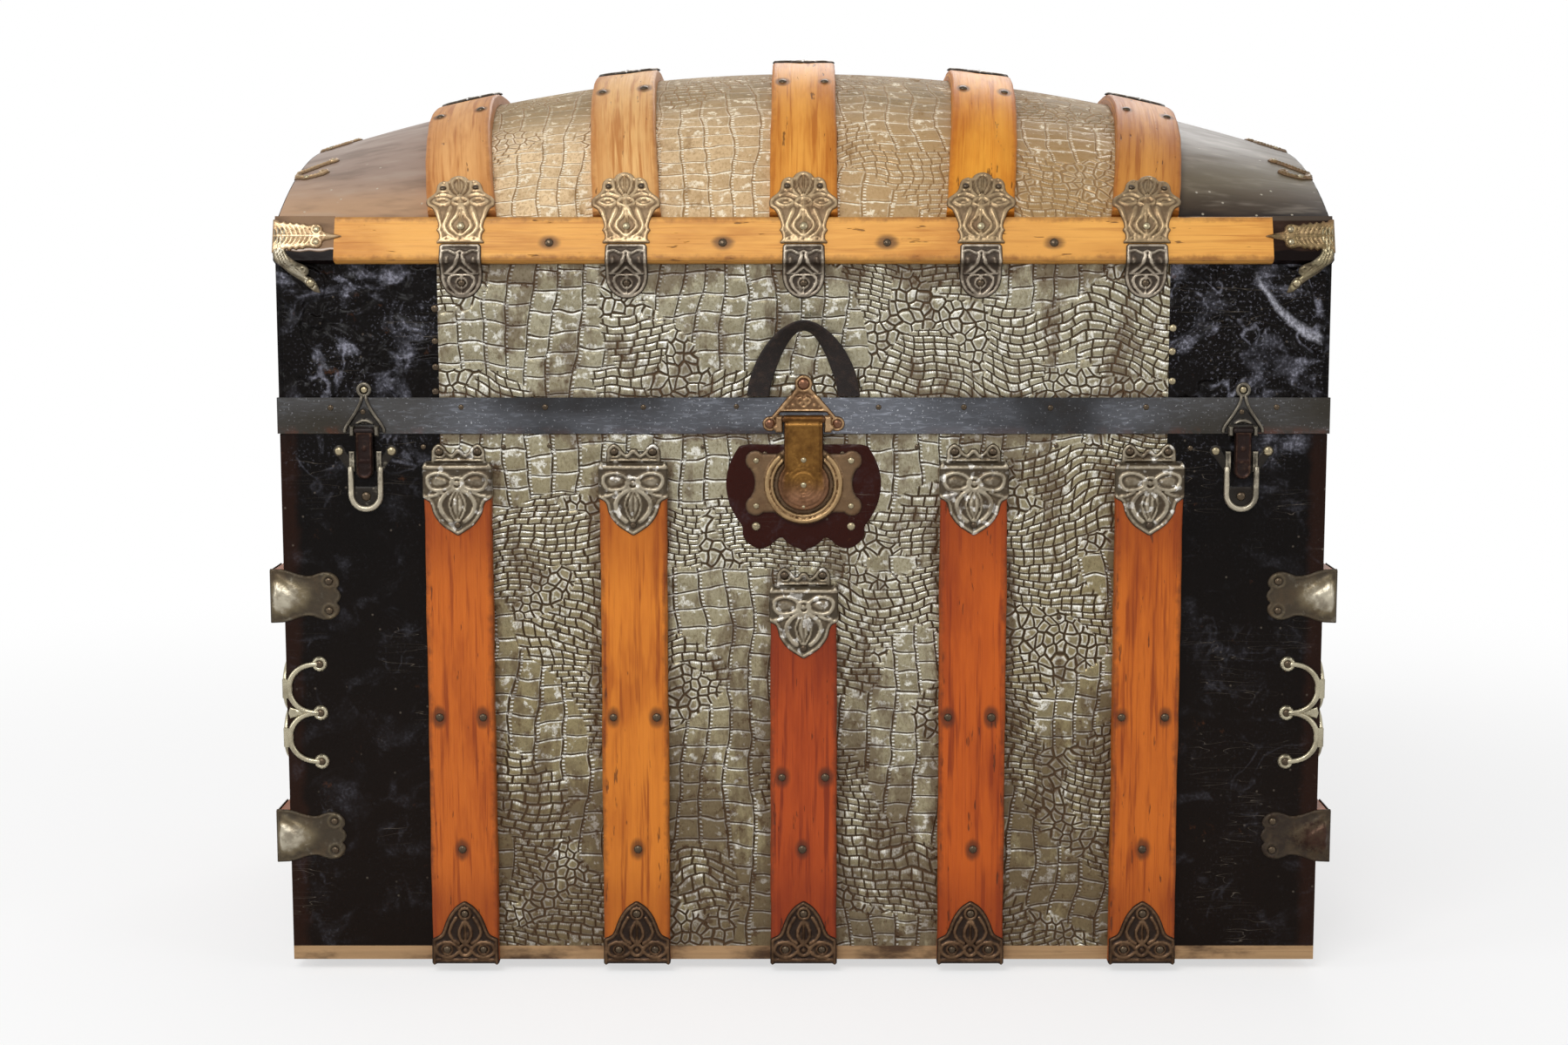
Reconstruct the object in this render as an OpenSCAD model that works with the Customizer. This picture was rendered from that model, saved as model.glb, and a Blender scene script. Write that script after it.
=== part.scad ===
// Dome top trunk: a pine case and crowned lid, covered in embossed and japanned
// sheet metal, strapped with oak slats and stamped hardware.
// Millimetres, +Z up. The origin is on the floor under the middle of the case;
// the front is towards -Y.

/* [Case] */
// Width over the sheet metal
case_w = 812; // [760:2:900]
// Depth over the sheet metal
case_d = 480; // [440:2:540]
// Height of the case, from the underside of its floor to the seam
case_h = 420; // [400:2:470]
// Thickness of the pine boards
board_t = 10; // [8:0.5:12]
// Thickness of the floor board
floor_t = 11; // [9:0.5:14]
// Thickness of the sheet metal cover
tin_t = 0.6; // [0.4:0.1:1.2]
// Height of the runners that carry the trunk
runner_t = 9; // [6:0.5:14]
// Width of one runner
runner_w = 50; // [30:1:70]
// Distance of the outer runners from the front and back faces
runner_inset = 40; // [25:1:70]
// Width of the japanned metal on the front, from the end of the case
end_tin_w = 124; // [112:1:134]

/* [Lid] */
// Height of the lid's upright wall
lid_wall_h = 131; // [120:1:150]
// Rise of the sloping edge that carries the rail
rail_rise = 35; // [31:1:42]
// Lean of the sloping edge
rail_lean = 12; // [8:1:18]
// Rise of the dome above its springing at the middle
crown_rise = 122; // [95:1:150]
// Rise of the dome at the two ends
end_rise = 57; // [45:1:75]
// Thickness of the dome's staves at the crown
shell_t = 9; // [7:0.5:11]
// Gap between the lid and the case
seam_gap = 0.4; // [0.2:0.1:1]
// Height of the steel band at the lid's lower edge
belt_h = 28; // [24:1:34]
// Thickness of the steel band
belt_t = 1.5; // [1:0.1:2]

/* [Slats] */
// Width of the upright slats
slat_w = 52; // [44:1:54]
// Thickness of every slat
slat_t = 9; // [7:0.5:11]
// Bevel along the slats' outer edges
slat_bevel = 2; // [1:0.5:3]
// Distance of the inner slats on the case from the middle
slat_inner_x = 132; // [110:1:150]
// Distance of the outer slats on the case inwards from the japanned metal's edge
slat_outer_in = 14; // [10:1:18]
// Distance of the inner slats on the dome from the middle
dome_inner_x = 136; // [110:1:150]
// Distance of the outer slats on the dome inwards from the japanned metal's edge
dome_outer_in = 19; // [14:1:22]
// Drop from the seam to the top of the long slats
slat_drop = 24; // [20:1:30]
// Drop from the seam to the top of the short middle slat
middle_drop = 121; // [114:1:160]
// Width of the slats on the ends
end_slat_w = 42; // [36:1:50]
// Height of the upper end slat's middle above the underside of the floor
end_slat_high = 293; // [275:1:310]
// Height of the lower end slat's middle above the underside of the floor
end_slat_low = 101; // [85:1:120]

/* [Hardware] */
// Thickness of the stamped clamps
clamp_t = 1.2; // [0.8:0.1:1.6]
// Thickness of the cast pieces
cast_t = 2.5; // [2:0.1:3.5]
// Radius of a nail head
nail_r = 3.3; // [2.4:0.1:3.8]
// Height of a nail head
nail_h = 1.6; // [1:0.1:2]
// Radius of the lid hinge pins
hinge_pin_r = 1.6; // [1.2:0.1:2]
// Outer radius of the lid hinge knuckles
knuckle_r = 3.6; // [3.2:0.1:4]
// Width of one lid hinge
hinge_w = 56; // [44:1:56]
// Radial running clearance of every pin
pin_clear = 0.06; // [0.03:0.01:0.1]

/* [Lock] */
// Height of the ring's middle under the seam
ring_drop = 39; // [36:1:44]
// Inner radius of the raised ring
ring_r = 24.5; // [23.5:0.5:27]
// Width of the raised ring
ring_w = 6; // [4:0.5:8]
// Height of the raised ring over its plate
ring_t = 4; // [2:0.5:5]
// Half width of the lock plate, over its lobes
plate_half_w = 45; // [42:1:50]
// Radius of the disc at the end of the hasp
hasp_r = 20; // [16:0.5:20.5]
// Half width of the hasp
hasp_half_w = 15.3; // [12:0.1:15.5]
// Thickness of the hasp
hasp_t = 3; // [2:0.1:3.4]
// Height of the hasp's pin above the seam
hasp_pin_up = 12; // [10:0.5:14]
// Travel of the lock's bolt
bolt_travel = 6; // [4:0.5:8]
// Distance of the draw bolts from the ends of the case
draw_end = 66; // [58:1:80]

/* [Inside] */
// Height of the lift-out tray
tray_h = 80; // [60:1:100]
// Thickness of the tray's boards
tray_t = 6; // [4:0.5:8]
// Gap between the tray and the case on each side
tray_gap = 2; // [1:0.5:4]
// Drop from the seam to the top edge of the tray
tray_drop = 6; // [3:0.5:12]
// Width of the ledges that carry the tray
cleat_w = 10; // [8:0.5:14]
// Height of the ledges
cleat_h = 18; // [12:1:24]

/* [Hidden] */

$fn = 32;

// heights
floor_z = runner_t;
case_foot_z = floor_z + floor_t;
seam_z = floor_z + case_h;
lid_z = seam_z + seam_gap;
wall_top_z = seam_z + lid_wall_h;
spring_z = wall_top_z + rail_rise;

// half sizes
half_w = case_w / 2;
tin_seam_x = half_w - end_tin_w;
slat_outer_x = tin_seam_x - slat_outer_in;
dome_outer_x = tin_seam_x - dome_outer_in;
draw_x = half_w - draw_end;
half_d = case_d / 2;
board_y = half_d - tin_t;
inside_y = board_y - board_t;
inside_x = half_w - tin_t - board_t;
spring_y = half_d - rail_lean;

// dome
dome_segments = 28;
shell_inset = tin_t * 1.2;
lining_inset = shell_inset + shell_t * 1.3;
crown_radius = pow(half_w, 2) / (2 * (crown_rise - end_rise));
croc_stations = 20;
end_stations = 4;
slat_seat = 0.4;

// rail, measured in its own cross-section
rail_t = slat_t + tin_t;
rail_slope = [rail_lean, rail_rise] / norm([rail_lean, rail_rise]);
rail_out = [-rail_slope.y, rail_slope.x];
rail_foot = [-board_y, wall_top_z];
rail_face_h = norm([rail_lean, rail_rise]) - 1.5;
rail_cap_w = 46;
rail_cap_t = 0.8;

slat_face_y = half_d + slat_t;
case_slat_x = [-slat_outer_x, -slat_inner_x, 0, slat_inner_x, slat_outer_x];
dome_slat_x = [-dome_outer_x, -dome_inner_x, 0, dome_inner_x, dome_outer_x];
end_slat_z = [for (h = [end_slat_low, end_slat_high]) floor_z + h];

// lock and hasp
backing_t = 1.5;
lock_plate_t = 2;
ring_z = seam_z - ring_drop;
hasp_pin_r = 1.5;
hasp_barrel_r = 3.4;
hasp_gap = 0.4;
hasp_pin_y = half_d + belt_t + hasp_barrel_r + 0.6;
hasp_pin_z = seam_z + hasp_pin_up;
hasp_back_y = half_d + backing_t + lock_plate_t + 1.4;
lock_case_w = 70;
lock_case_h = 58;
lock_case_d = board_t - 1.5;
bolt_w = 22;
bolt_h = 8;
bolt_d = 3;
bolt_gap = 0.3;

// draw bolts
draw_pin_r = 1.2;
draw_barrel_r = 2.8;
draw_half_w = 7;
draw_pin_y = half_d + belt_t + draw_barrel_r + 0.4;
draw_pin_z = seam_z + 3;
draw_length = 36;
draw_t = 2.4;
keeper_t = 4;
keeper_inner_r = 9;
keeper_rim = 4.8;
keeper_z = seam_z - 47;
keeper_top_z = seam_z - 21;
keeper_ear_x = 20.8;

// hinges, set between the slats
hinge_x = (slat_inner_x + slat_outer_x) / 2;
hinge_gap = 0.3;
leaf_t = 1.6;
hinge_y = half_d + belt_t + knuckle_r + 0.2;
lid_knuckle_half = 11.7;
case_leaf_h = 40;

// tray
tray_top_z = seam_z - tray_drop;
tray_z = tray_top_z - tray_h;

// ---------------------------------------------------------------- helpers

// mirrored copies: front and back, left and right
module front_and_back() {
    children();
    mirror([0, 1, 0]) children();
}

module left_and_right() {
    children();
    mirror([1, 0, 0]) children();
}

// a plate on the front whose back lies at -y; the outline is drawn in X and Z
module front_plate(y, thickness) {
    translate([0, -y, 0]) rotate([90, 0, 0]) linear_extrude(thickness) children();
}

// a prism along +X from x; the outline is drawn in Y and Z
module cross_prism(x, length) {
    translate([x, 0, 0]) rotate([90, 0, 90]) linear_extrude(length) children();
}

// a bar with round ends between two points of an outline
module bar(a, b, r) {
    translate(a) circle(r);
    translate(b) circle(r);
    translate(a) rotate(atan2(b.y - a.y, b.x - a.x)) translate([0, -0.92 * r])
        square([norm(b - a), 1.84 * r]);
}

function total(points, i = 0) = i == len(points) - 1 ? points[i] : points[i] + total(points, i + 1);
function middle(ring) = total(ring) / len(ring);

// vector area of a ring, which points to the side it is seen counterclockwise from
function ring_area(ring) = total([for (i = [1:len(ring) - 2])
    cross(ring[i] - ring[0], ring[i + 1] - ring[0])]);

function reversed(list) = [for (i = [len(list) - 1:-1:0]) list[i]];

// a solid through closed rings of points, with flat ends
module loft(given) {
    onward = ring_area(given[0]) * (middle(given[1]) - middle(given[0])) > 0;
    rings = onward ? given : [for (ring = given) reversed(ring)];
    n = len(rings[0]);
    last = len(rings) - 1;
    polyhedron(
        points = [for (ring = rings) each ring],
        faces = concat(
            [[for (i = [0:n - 1]) i]],
            [[for (i = [n - 1:-1:0]) last * n + i]],
            [for (j = [0:last - 1], i = [0:n - 1], half = [0, 1])
                let (a = j * n + i, b = j * n + (i + 1) % n)
                half == 0 ? [a, b + n, b] : [a, a + n, b + n]]
        ),
        convexity = 8
    );
}

function unit(v) = v / norm(v);
function steps(from, to, count) = [for (i = [0:count]) from + (to - from) * i / count];

// ------------------------------------------------------------ dome surface

// rise of the dome at station x
function rise_at(x) = crown_rise - (crown_rise - end_rise) * pow(x / half_w, 2);

// radius of the arc with half chord c and rise h
function arc_radius(c, h) = (c * c + h * h) / (2 * h);

// a point of the arch at station x, with t from -1 at the front to 1 at the back
function arch_point(x, t, inset = 0, drop = 0) =
    let (c = spring_y - inset, h = rise_at(x) - drop, r = arc_radius(c, h), a = asin(c / r) * t)
    [x, r * sin(a), spring_z + h - r + r * cos(a)];

// length of the arc from the springing to the crown at station x
function arch_half_length(x) =
    let (r = arc_radius(spring_y, rise_at(x))) r * asin(spring_y / r) * PI / 180;

// centre line of the slat that springs at x0: it leans out with the crown
function slat_centre(x0, t) =
    let (z = arch_point(x0, t).z, x = x0 + (z - spring_z) * x0 / crown_radius)
    arch_point(x, t, -slat_seat, -slat_seat);

// directions at t on that line: across the slat at constant t, and outward
function slat_side(c, t) = (arch_point(c.x + 1, t) - arch_point(c.x - 1, t)) / 2;
function slat_normal(x0, t) = unit(cross(
    slat_side(slat_centre(x0, t), t),
    slat_centre(x0, t + 0.01) - slat_centre(x0, t - 0.01)
));

// a point on the slat at t, this far across it from its middle and up from its seat
function on_slat(x0, t, across, up) = let (c = slat_centre(x0, t))
    arch_point(c.x + across / norm(slat_side(c, t)), t, -slat_seat, -slat_seat)
    + slat_normal(x0, t) * up;

// where t stands at a distance up the slat from the springing
function slat_t_at(x0, s) = s / arch_half_length(x0) - 1;

// a ring of points given in a frame as [across, up]
function in_frame(frame, points) = [for (p = points) frame[0] + frame[1] * p.x + frame[2] * p.y];

// cross-section of a sheet, from up0 to up1 over half width w
function sheet_section(w, up0, up1) = [[-w, up0], [-w, up1], [w, up1], [w, up0]];

// a curved layer of the dome; each of outer and inner is [inset, drop] of its arches
module dome_layer(stations, outer, inner) {
    n = dome_segments + 1;
    ts = steps(-1, 1, dome_segments);
    rows = len(stations);
    under = rows * n;
    polyhedron(
        points = [for (skin = [outer, inner], x = stations, t = ts) arch_point(x, t, skin[0], skin[1])],
        faces = concat(
            [for (j = [0:rows - 2], i = [0:n - 2], half = [0, 1]) let (a = j * n + i)
                half == 0 ? [a, a + 1, a + n + 1] : [a, a + n + 1, a + n]],
            [for (j = [0:rows - 2], i = [0:n - 2], half = [0, 1]) let (a = under + j * n + i)
                half == 0 ? [a, a + n + 1, a + 1] : [a, a + n, a + n + 1]],
            [for (j = [0:rows - 2], half = [0, 1]) let (a = j * n, b = a + under)
                half == 0 ? [a, a + n, b + n] : [a, b + n, b]],
            [for (j = [0:rows - 2], half = [0, 1]) let (a = j * n + n - 1, b = a + under)
                half == 0 ? [a, b + n, a + n] : [a, b, b + n]],
            [for (i = [0:n - 2], half = [0, 1]) let (a = i, b = a + under)
                half == 0 ? [a, b, b + 1] : [a, b + 1, a + 1]],
            [for (i = [0:n - 2], half = [0, 1]) let (a = (rows - 1) * n + i, b = a + under)
                half == 0 ? [a, b + 1, b] : [a, a + 1, b + 1]]
        ),
        convexity = 8
    );
}

croc_x = steps(-tin_seam_x, tin_seam_x, croc_stations);
end_x = concat(steps(tin_seam_x, inside_x, end_stations), [half_w - tin_t]);
far_end_x = -1 * reversed(end_x);
tin_top = [0, 0];
tin_foot = [shell_inset, tin_t];
lining = [lining_inset, shell_t + tin_t];
lining_fit = 0.5;

// outline of the lid's end, as [y, z], up to an arch of the dome at station x
function lid_end_outline(x, y, inset, drop) = concat(
    [[-y, lid_z], [-y, wall_top_z], [-y + rail_lean, spring_z]],
    [for (t = steps(-1, 1, dome_segments)) let (p = arch_point(x, t, inset, drop)) [p.y, p.z]],
    [[y - rail_lean, spring_z], [y, wall_top_z], [y, lid_z]]
);

// ---------------------------------------------------------------- case

module floor_board() color("tan")
    translate([-half_w, -half_d, floor_z]) cube([case_w, case_d, floor_t]);

module bottom_runners() color("peru")
    for (y = [-half_d + runner_inset, -runner_w / 2, half_d - runner_inset - runner_w])
        translate([-half_w + runner_inset, y, 0])
            cube([case_w - 2 * runner_inset, runner_w, runner_t]);

module lock_pocket() {
    translate([-lock_case_w / 2, -board_y - 1, ring_z - lock_case_h / 2])
        cube([lock_case_w, lock_case_d + 1, lock_case_h]);
}

module front_board() color("burlywood") difference() {
    translate([-half_w + tin_t, -board_y, case_foot_z])
        cube([case_w - 2 * tin_t, board_t, seam_z - case_foot_z]);
    lock_pocket();
}

module back_board() color("burlywood")
    translate([-half_w + tin_t, inside_y, case_foot_z])
        cube([case_w - 2 * tin_t, board_t, seam_z - case_foot_z]);

module end_boards() color("burlywood") left_and_right()
    translate([inside_x, -inside_y, case_foot_z])
        cube([board_t, 2 * inside_y, seam_z - case_foot_z]);

module croc_sheet() {
    translate([-tin_seam_x, -half_d, case_foot_z])
        cube([2 * tin_seam_x, tin_t, seam_z - case_foot_z]);
}

module front_croc_tin() color("darkkhaki") croc_sheet();

module back_croc_tin() color("darkkhaki") mirror([0, 1, 0]) croc_sheet();

// one sheet wraps each end of the case, from the front seam to the back seam
module corner_tins() color("#1c1614") left_and_right()
    translate([0, 0, case_foot_z]) linear_extrude(seam_z - case_foot_z) difference() {
        translate([tin_seam_x, -half_d]) square([half_w - tin_seam_x, case_d]);
        translate([tin_seam_x - 1, -board_y]) square([half_w - tin_t - tin_seam_x + 1, 2 * board_y]);
    }

// an upright slat on the front, bevelled along both edges
module upright_slat(x, top_z) {
    translate([x, -half_d, floor_z]) linear_extrude(top_z - floor_z)
        polygon([[-slat_w / 2, 0], [-slat_w / 2, -slat_t + slat_bevel],
                 [-slat_w / 2 + slat_bevel, -slat_t], [slat_w / 2 - slat_bevel, -slat_t],
                 [slat_w / 2, -slat_t + slat_bevel], [slat_w / 2, 0]]);
}

function slat_top(i) = seam_z - (i == 2 ? middle_drop : slat_drop);

module front_slat(i) color(i == 2 ? "sienna" : "peru") upright_slat(case_slat_x[i], slat_top(i));

module back_slats() color("peru") mirror([0, 1, 0])
    for (x = case_slat_x) upright_slat(x, seam_z - slat_drop);

module end_slats() color("peru") left_and_right() for (z = end_slat_z)
    translate([half_w, 0, z]) rotate([90, 0, 0]) linear_extrude(case_d, center = true)
        polygon([[0, -end_slat_w / 2], [slat_t - slat_bevel, -end_slat_w / 2],
                 [slat_t, -end_slat_w / 2 + slat_bevel], [slat_t, end_slat_w / 2 - slat_bevel],
                 [slat_t - slat_bevel, end_slat_w / 2], [0, end_slat_w / 2]]);

// ---------------------------------------------------------------- stamped clamps

crown_strip_h = 13;
crown_half_w = 21;
crown_ear_r = 5.5;
shield_h = 58;
shield_side_h = 25;
foot_arch_h = 50;
foot_base_h = 20;

// radius of the circle through a point w out and one h away on the axis, for a pointed arch
function pointed_radius(w, h) = (w * w + h * h) / (2 * w);

// two circles that meet in a point h below and span 2 w at z = 0
module pointed_arch(w, h) intersection() {
    r = pointed_radius(w, h);
    translate([-w, -h]) square([2 * w, h]);
    translate([w - r, 0]) circle(r, $fn = 96);
    translate([r - w, 0]) circle(r, $fn = 96);
}

// pointed shield under the crown; top edge at z = 0
module shield_outline() {
    w = slat_w / 2 + clamp_t;
    translate([-w, -shield_side_h]) square([2 * w, shield_side_h]);
    translate([0, 2 - shield_side_h]) pointed_arch(w - 2.5, shield_h - shield_side_h + 2);
}

// strip above the slat with two nail ears and a peak between them; foot at z = 0
module crown_outline() {
    ear_x = crown_half_w - crown_ear_r;
    ear_z = crown_strip_h - crown_ear_r;
    translate([-crown_half_w, 0]) square([2 * crown_half_w, ear_z]);
    for (side = [-1, 1]) translate([side * ear_x, ear_z]) circle(crown_ear_r);
    polygon([[-ear_x, 1], [-ear_x, ear_z], [-ear_x / 2, ear_z - 1], [0, crown_strip_h - 1],
             [ear_x / 2, ear_z - 1], [ear_x, ear_z], [ear_x, 1]]);
}

// crown on the metal, a riser over the slat's end and the shield on its face
module crown_clamp(x, top_z) translate([x, 0, top_z]) {
    front_plate(half_d, clamp_t) crown_outline();
    translate([-slat_w / 2, -slat_face_y - clamp_t, 0]) cube([slat_w, slat_t + clamp_t, clamp_t]);
    front_plate(slat_face_y, clamp_t) {
        shield_outline();
        translate([-slat_w / 2, -1]) square([slat_w, 1 + clamp_t]);
    }
}

module crown_clamps() color("#6e6450") {
    for (i = [0:4]) crown_clamp(case_slat_x[i], slat_top(i));
    mirror([0, 1, 0]) for (x = case_slat_x) crown_clamp(x, seam_z - slat_drop);
}

// bell-shaped palmette on a block; foot at z = 0
module foot_outline() {
    w = slat_w / 2;
    neck = 17;
    flare = 8;
    translate([-w, 0]) square([2 * w, foot_base_h]);
    translate([0, foot_base_h + flare - 2]) mirror([0, 1])
        pointed_arch(neck, foot_arch_h - foot_base_h - flare + 2);
    difference() {
        translate([1 - w, foot_base_h - 1]) square([2 * w - 2, flare]);
        for (side = [-1, 1]) translate([side * (w - 0.4), foot_base_h + flare]) circle(flare);
    }
}

foot_lap = 22;

module foot_clamp(x) translate([x, 0, floor_z]) {
    front_plate(slat_face_y, clamp_t) foot_outline();
    translate([-slat_w / 2, -slat_face_y - clamp_t, -clamp_t])
        cube([slat_w, slat_t + clamp_t + foot_lap, clamp_t]);
}

module foot_clamps() color("#5a5246") front_and_back()
    for (x = case_slat_x) foot_clamp(x);

// wraps the corner over an end slat: a lobed plate on the front, a plate on the side
clamp_front_w = 46;
clamp_side_w = 42;

module end_slat_clamp(z) {
    outer_x = half_w + slat_t + clamp_t;
    half_h = end_slat_w / 2;
    translate([0, 0, z - half_h]) linear_extrude(end_slat_w) polygon([
        [half_w - clamp_front_w + 8, -half_d], [half_w - clamp_front_w + 8, -half_d - clamp_t],
        [outer_x, -half_d - clamp_t], [outer_x, -half_d + clamp_side_w],
        [outer_x - clamp_t, -half_d + clamp_side_w], [outer_x - clamp_t, -half_d]
    ]);
    front_plate(half_d, clamp_t) translate([half_w - clamp_front_w + 7, z]) difference() {
        union() {
            for (side = [-1, 1]) translate([0, side * (half_h - 5)]) circle(6.5);
            translate([-4, 7 - half_h]) square([10, end_slat_w - 14]);
        }
        translate([-8.5, 0]) circle(5);
    }
}

module end_slat_clamps() color("#7a7260") left_and_right() front_and_back()
    for (z = end_slat_z) end_slat_clamp(z);

// three round-ended arms swept from the corner in two half rings
brace_z = (end_slat_z[0] + end_slat_z[1]) / 2 + 3;
brace_pitch = 39;
brace_reach = 28.5;
brace_arm = 5.4;

module brace_outline() {
    r = brace_pitch / 2;
    stretch = brace_reach / (r + brace_arm / 2);
    for (side = [-1, 1]) translate([0, side * r]) scale([stretch, 1]) intersection() {
        difference() {
            circle(r + brace_arm / 2, $fn = 48);
            circle(r - brace_arm / 2, $fn = 48);
        }
        translate([0, -r - brace_arm]) square([r + brace_arm, 2 * (r + brace_arm)]);
    }
    for (z = [-brace_pitch, 0, brace_pitch]) translate([0, z]) circle(6.2);
}

module corner_brace() {
    half_h = brace_pitch * 0.86;
    front_plate(half_d, cast_t) translate([half_w - brace_reach, brace_z]) brace_outline();
    translate([half_w, 0, brace_z]) rotate([90, 0, 90]) linear_extrude(cast_t)
        translate([-half_d + brace_reach, 0]) mirror([1, 0]) brace_outline();
    for (z = [-brace_pitch / 2, brace_pitch / 2])
        translate([half_w - 3, -half_d - cast_t, brace_z + z - 8])
            linear_extrude(16) polygon([[0, 0], [3 + cast_t, 0], [3 + cast_t, cast_t + 3],
                                        [3, cast_t + 3], [3, cast_t], [0, cast_t]]);
}

module corner_braces() color("#8d8672") left_and_right() front_and_back() corner_brace();

// ---------------------------------------------------------------- lock

backing_r = 60;
backing_drop = 36;
backing_top = 30;
scallop_r = 14;
scallop_x = [-34, -3, 29];

module lock_backing() color("#3a140c") front_plate(half_d, backing_t) translate([0, ring_z]) {
    intersection() {
        circle(backing_r, $fn = 96);
        translate([-backing_r, -backing_drop])
            square([2 * backing_r, min(backing_top, ring_drop - 4) + backing_drop]);
    }
    for (x = scallop_x) translate([x, -backing_drop - (abs(x) < scallop_r ? 2 : 0)]) circle(scallop_r);
}

// four riveted lobes with hollow sides between them
module lock_plate_outline() translate([0, ring_z]) {
    lobe_x = plate_half_w - 8.5;
    for (x = [-1, 1], z = [-1, 1]) translate([x * lobe_x, z * 17.5]) circle(8.5);
    difference() {
        translate([-lobe_x, -22]) square([2 * lobe_x, 44]);
        for (side = [-1, 1]) translate([side * (lobe_x + 10.5), 0]) circle(16, $fn = 48);
    }
    circle(ring_r + ring_w, $fn = 96);
}

// the ring is open at the top, where the hasp passes as the lid lifts
ring_opening = 62;

module lock_plate() color("#8a6a2f") difference() {
    union() {
        front_plate(half_d + backing_t, lock_plate_t) lock_plate_outline();
        front_plate(half_d + backing_t + lock_plate_t, ring_t) translate([0, ring_z]) difference() {
            circle(ring_r + ring_w, $fn = 96);
            circle(ring_r, $fn = 96);
            polygon([[0, 0], 60 * [-sin(ring_opening), cos(ring_opening)], [0, 120],
                     60 * [sin(ring_opening), cos(ring_opening)]]);
        }
    }
    front_plate(half_d + backing_t - 1, lock_plate_t + 2) translate([-2, ring_z - 5]) square([4, 10]);
}

// closed box let into the front board, with a channel for the bolt
module lock_case() color("#6b5630") difference() {
    translate([-lock_case_w / 2, -board_y, ring_z - lock_case_h / 2])
        cube([lock_case_w, lock_case_d, lock_case_h]);
    translate([-bolt_w / 2 - bolt_gap, -board_y + 2 - bolt_gap, ring_z + 8 - bolt_gap])
        cube([bolt_w + bolt_travel + 2 * bolt_gap, bolt_d + 2 * bolt_gap, bolt_h + 2 * bolt_gap]);
}

module lock_bolt() color("#b08b45")
    translate([-bolt_w / 2, -board_y + 2, ring_z + 8]) cube([bolt_w, bolt_d, bolt_h]);

ear_t = 5;

// triangle with a ball rivet, two riveted feet and the ears that hold the hasp's pin
module hasp_plate() color("#9a7440") {
    ball = [0, hasp_pin_z + 27];
    foot = [26, hasp_pin_z - 4.5];
    base_y = half_d + belt_t;
    inner_x = hasp_half_w + hasp_gap;
    difference() {
        front_plate(half_d, belt_t + 2) {
            translate(ball) circle(7);
            for (side = [-1, 1]) bar(ball, [side * foot.x, foot.y], 1.7);
            for (side = [-1, 1]) translate([side * foot.x, foot.y]) circle(6);
            for (side = [-1, 1]) translate([side > 0 ? inner_x : -foot.x, foot.y - 3])
                square([foot.x - inner_x, 6]);
            polygon([ball, [-18, hasp_pin_z + 5.6], [18, hasp_pin_z + 5.6]]);
        }
        translate([-40, -base_y, lid_z - 2]) cube([80, belt_t + 1, belt_h + 2]);
    }
    for (side = [-1, 1]) cross_prism(side > 0 ? inner_x : -inner_x - ear_t, ear_t) {
        translate([-hasp_pin_y, hasp_pin_z]) circle(hasp_barrel_r);
        translate([-hasp_pin_y, hasp_pin_z - 2.6]) square([hasp_pin_y - base_y, 5.2]);
    }
    translate([0, -hasp_pin_y, hasp_pin_z]) rotate([0, 90, 0])
        cylinder(h = 2 * (inner_x + 1), r = hasp_pin_r, center = true);
}

module lock_hasp() color("#8f6526") difference() {
    union() {
        translate([0, -hasp_pin_y, hasp_pin_z]) rotate([0, 90, 0])
            cylinder(h = 2 * hasp_half_w, r = hasp_barrel_r - 0.2, center = true);
        front_plate(hasp_back_y, hasp_t) {
            translate([-hasp_half_w, ring_z]) square([2 * hasp_half_w, hasp_pin_z - ring_z]);
            translate([0, ring_z]) circle(hasp_r, $fn = 64);
        }
        front_plate(hasp_back_y + hasp_t, 0.8) translate([0, ring_z]) difference() {
            circle(9);
            circle(7.4);
        }
    }
    translate([0, -hasp_pin_y, hasp_pin_z]) rotate([0, 90, 0])
        cylinder(h = 2 * hasp_half_w + 2, r = hasp_pin_r + pin_clear, center = true);
    front_plate(hasp_back_y - 1, hasp_t + 3) translate([0, ring_z]) {
        circle(2);
        translate([-0.8, -5]) square([1.6, 4]);
    }
}

// ---------------------------------------------------------------- draw bolts

// wishbone that hangs from a nailed loop, with the ears that hold the tongue's pin
module drawbolt_plate() {
    loop = [0, seam_z + 34];
    fork = [0, seam_z + 26];
    hip = [14.5, seam_z + 5];
    base_y = half_d + belt_t;
    inner_x = draw_half_w + 0.4;
    ear_w = 3.4;
    difference() {
        front_plate(half_d, belt_t + 2) {
            translate(loop) circle(5.8);
            bar(loop, fork, 2.2);
            for (side = [-1, 1]) {
                bar(fork, [side * hip.x, hip.y], 1.5);
                translate([side * hip.x, hip.y]) circle(3.6);
            }
            polygon([[-9.5, hip.y + 4], [-4, hip.y + 13], [4, hip.y + 13], [9.5, hip.y + 4]]);
        }
        translate([-40, -base_y, lid_z - 2]) cube([80, belt_t + 1, belt_h + 2]);
    }
    for (side = [-1, 1]) {
        cross_prism(side > 0 ? inner_x : -inner_x - ear_w, ear_w) {
            translate([-draw_pin_y, draw_pin_z]) circle(draw_barrel_r);
            translate([-draw_pin_y, draw_pin_z - 2.2]) square([draw_pin_y - base_y, 4.4]);
        }
        front_plate(base_y, 2) translate([side > 0 ? inner_x : -hip.x, hip.y - 3])
            square([hip.x - inner_x, 6]);
    }
    front_plate(base_y, 2) translate([-9.5, hip.y + 3]) square([19, 3]);
    translate([0, -draw_pin_y, draw_pin_z]) rotate([0, 90, 0])
        cylinder(h = 2 * (inner_x + 1), r = draw_pin_r, center = true);
}

module drawbolt_plates() color("#77705e") left_and_right()
    translate([draw_x, 0, 0]) drawbolt_plate();

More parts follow.
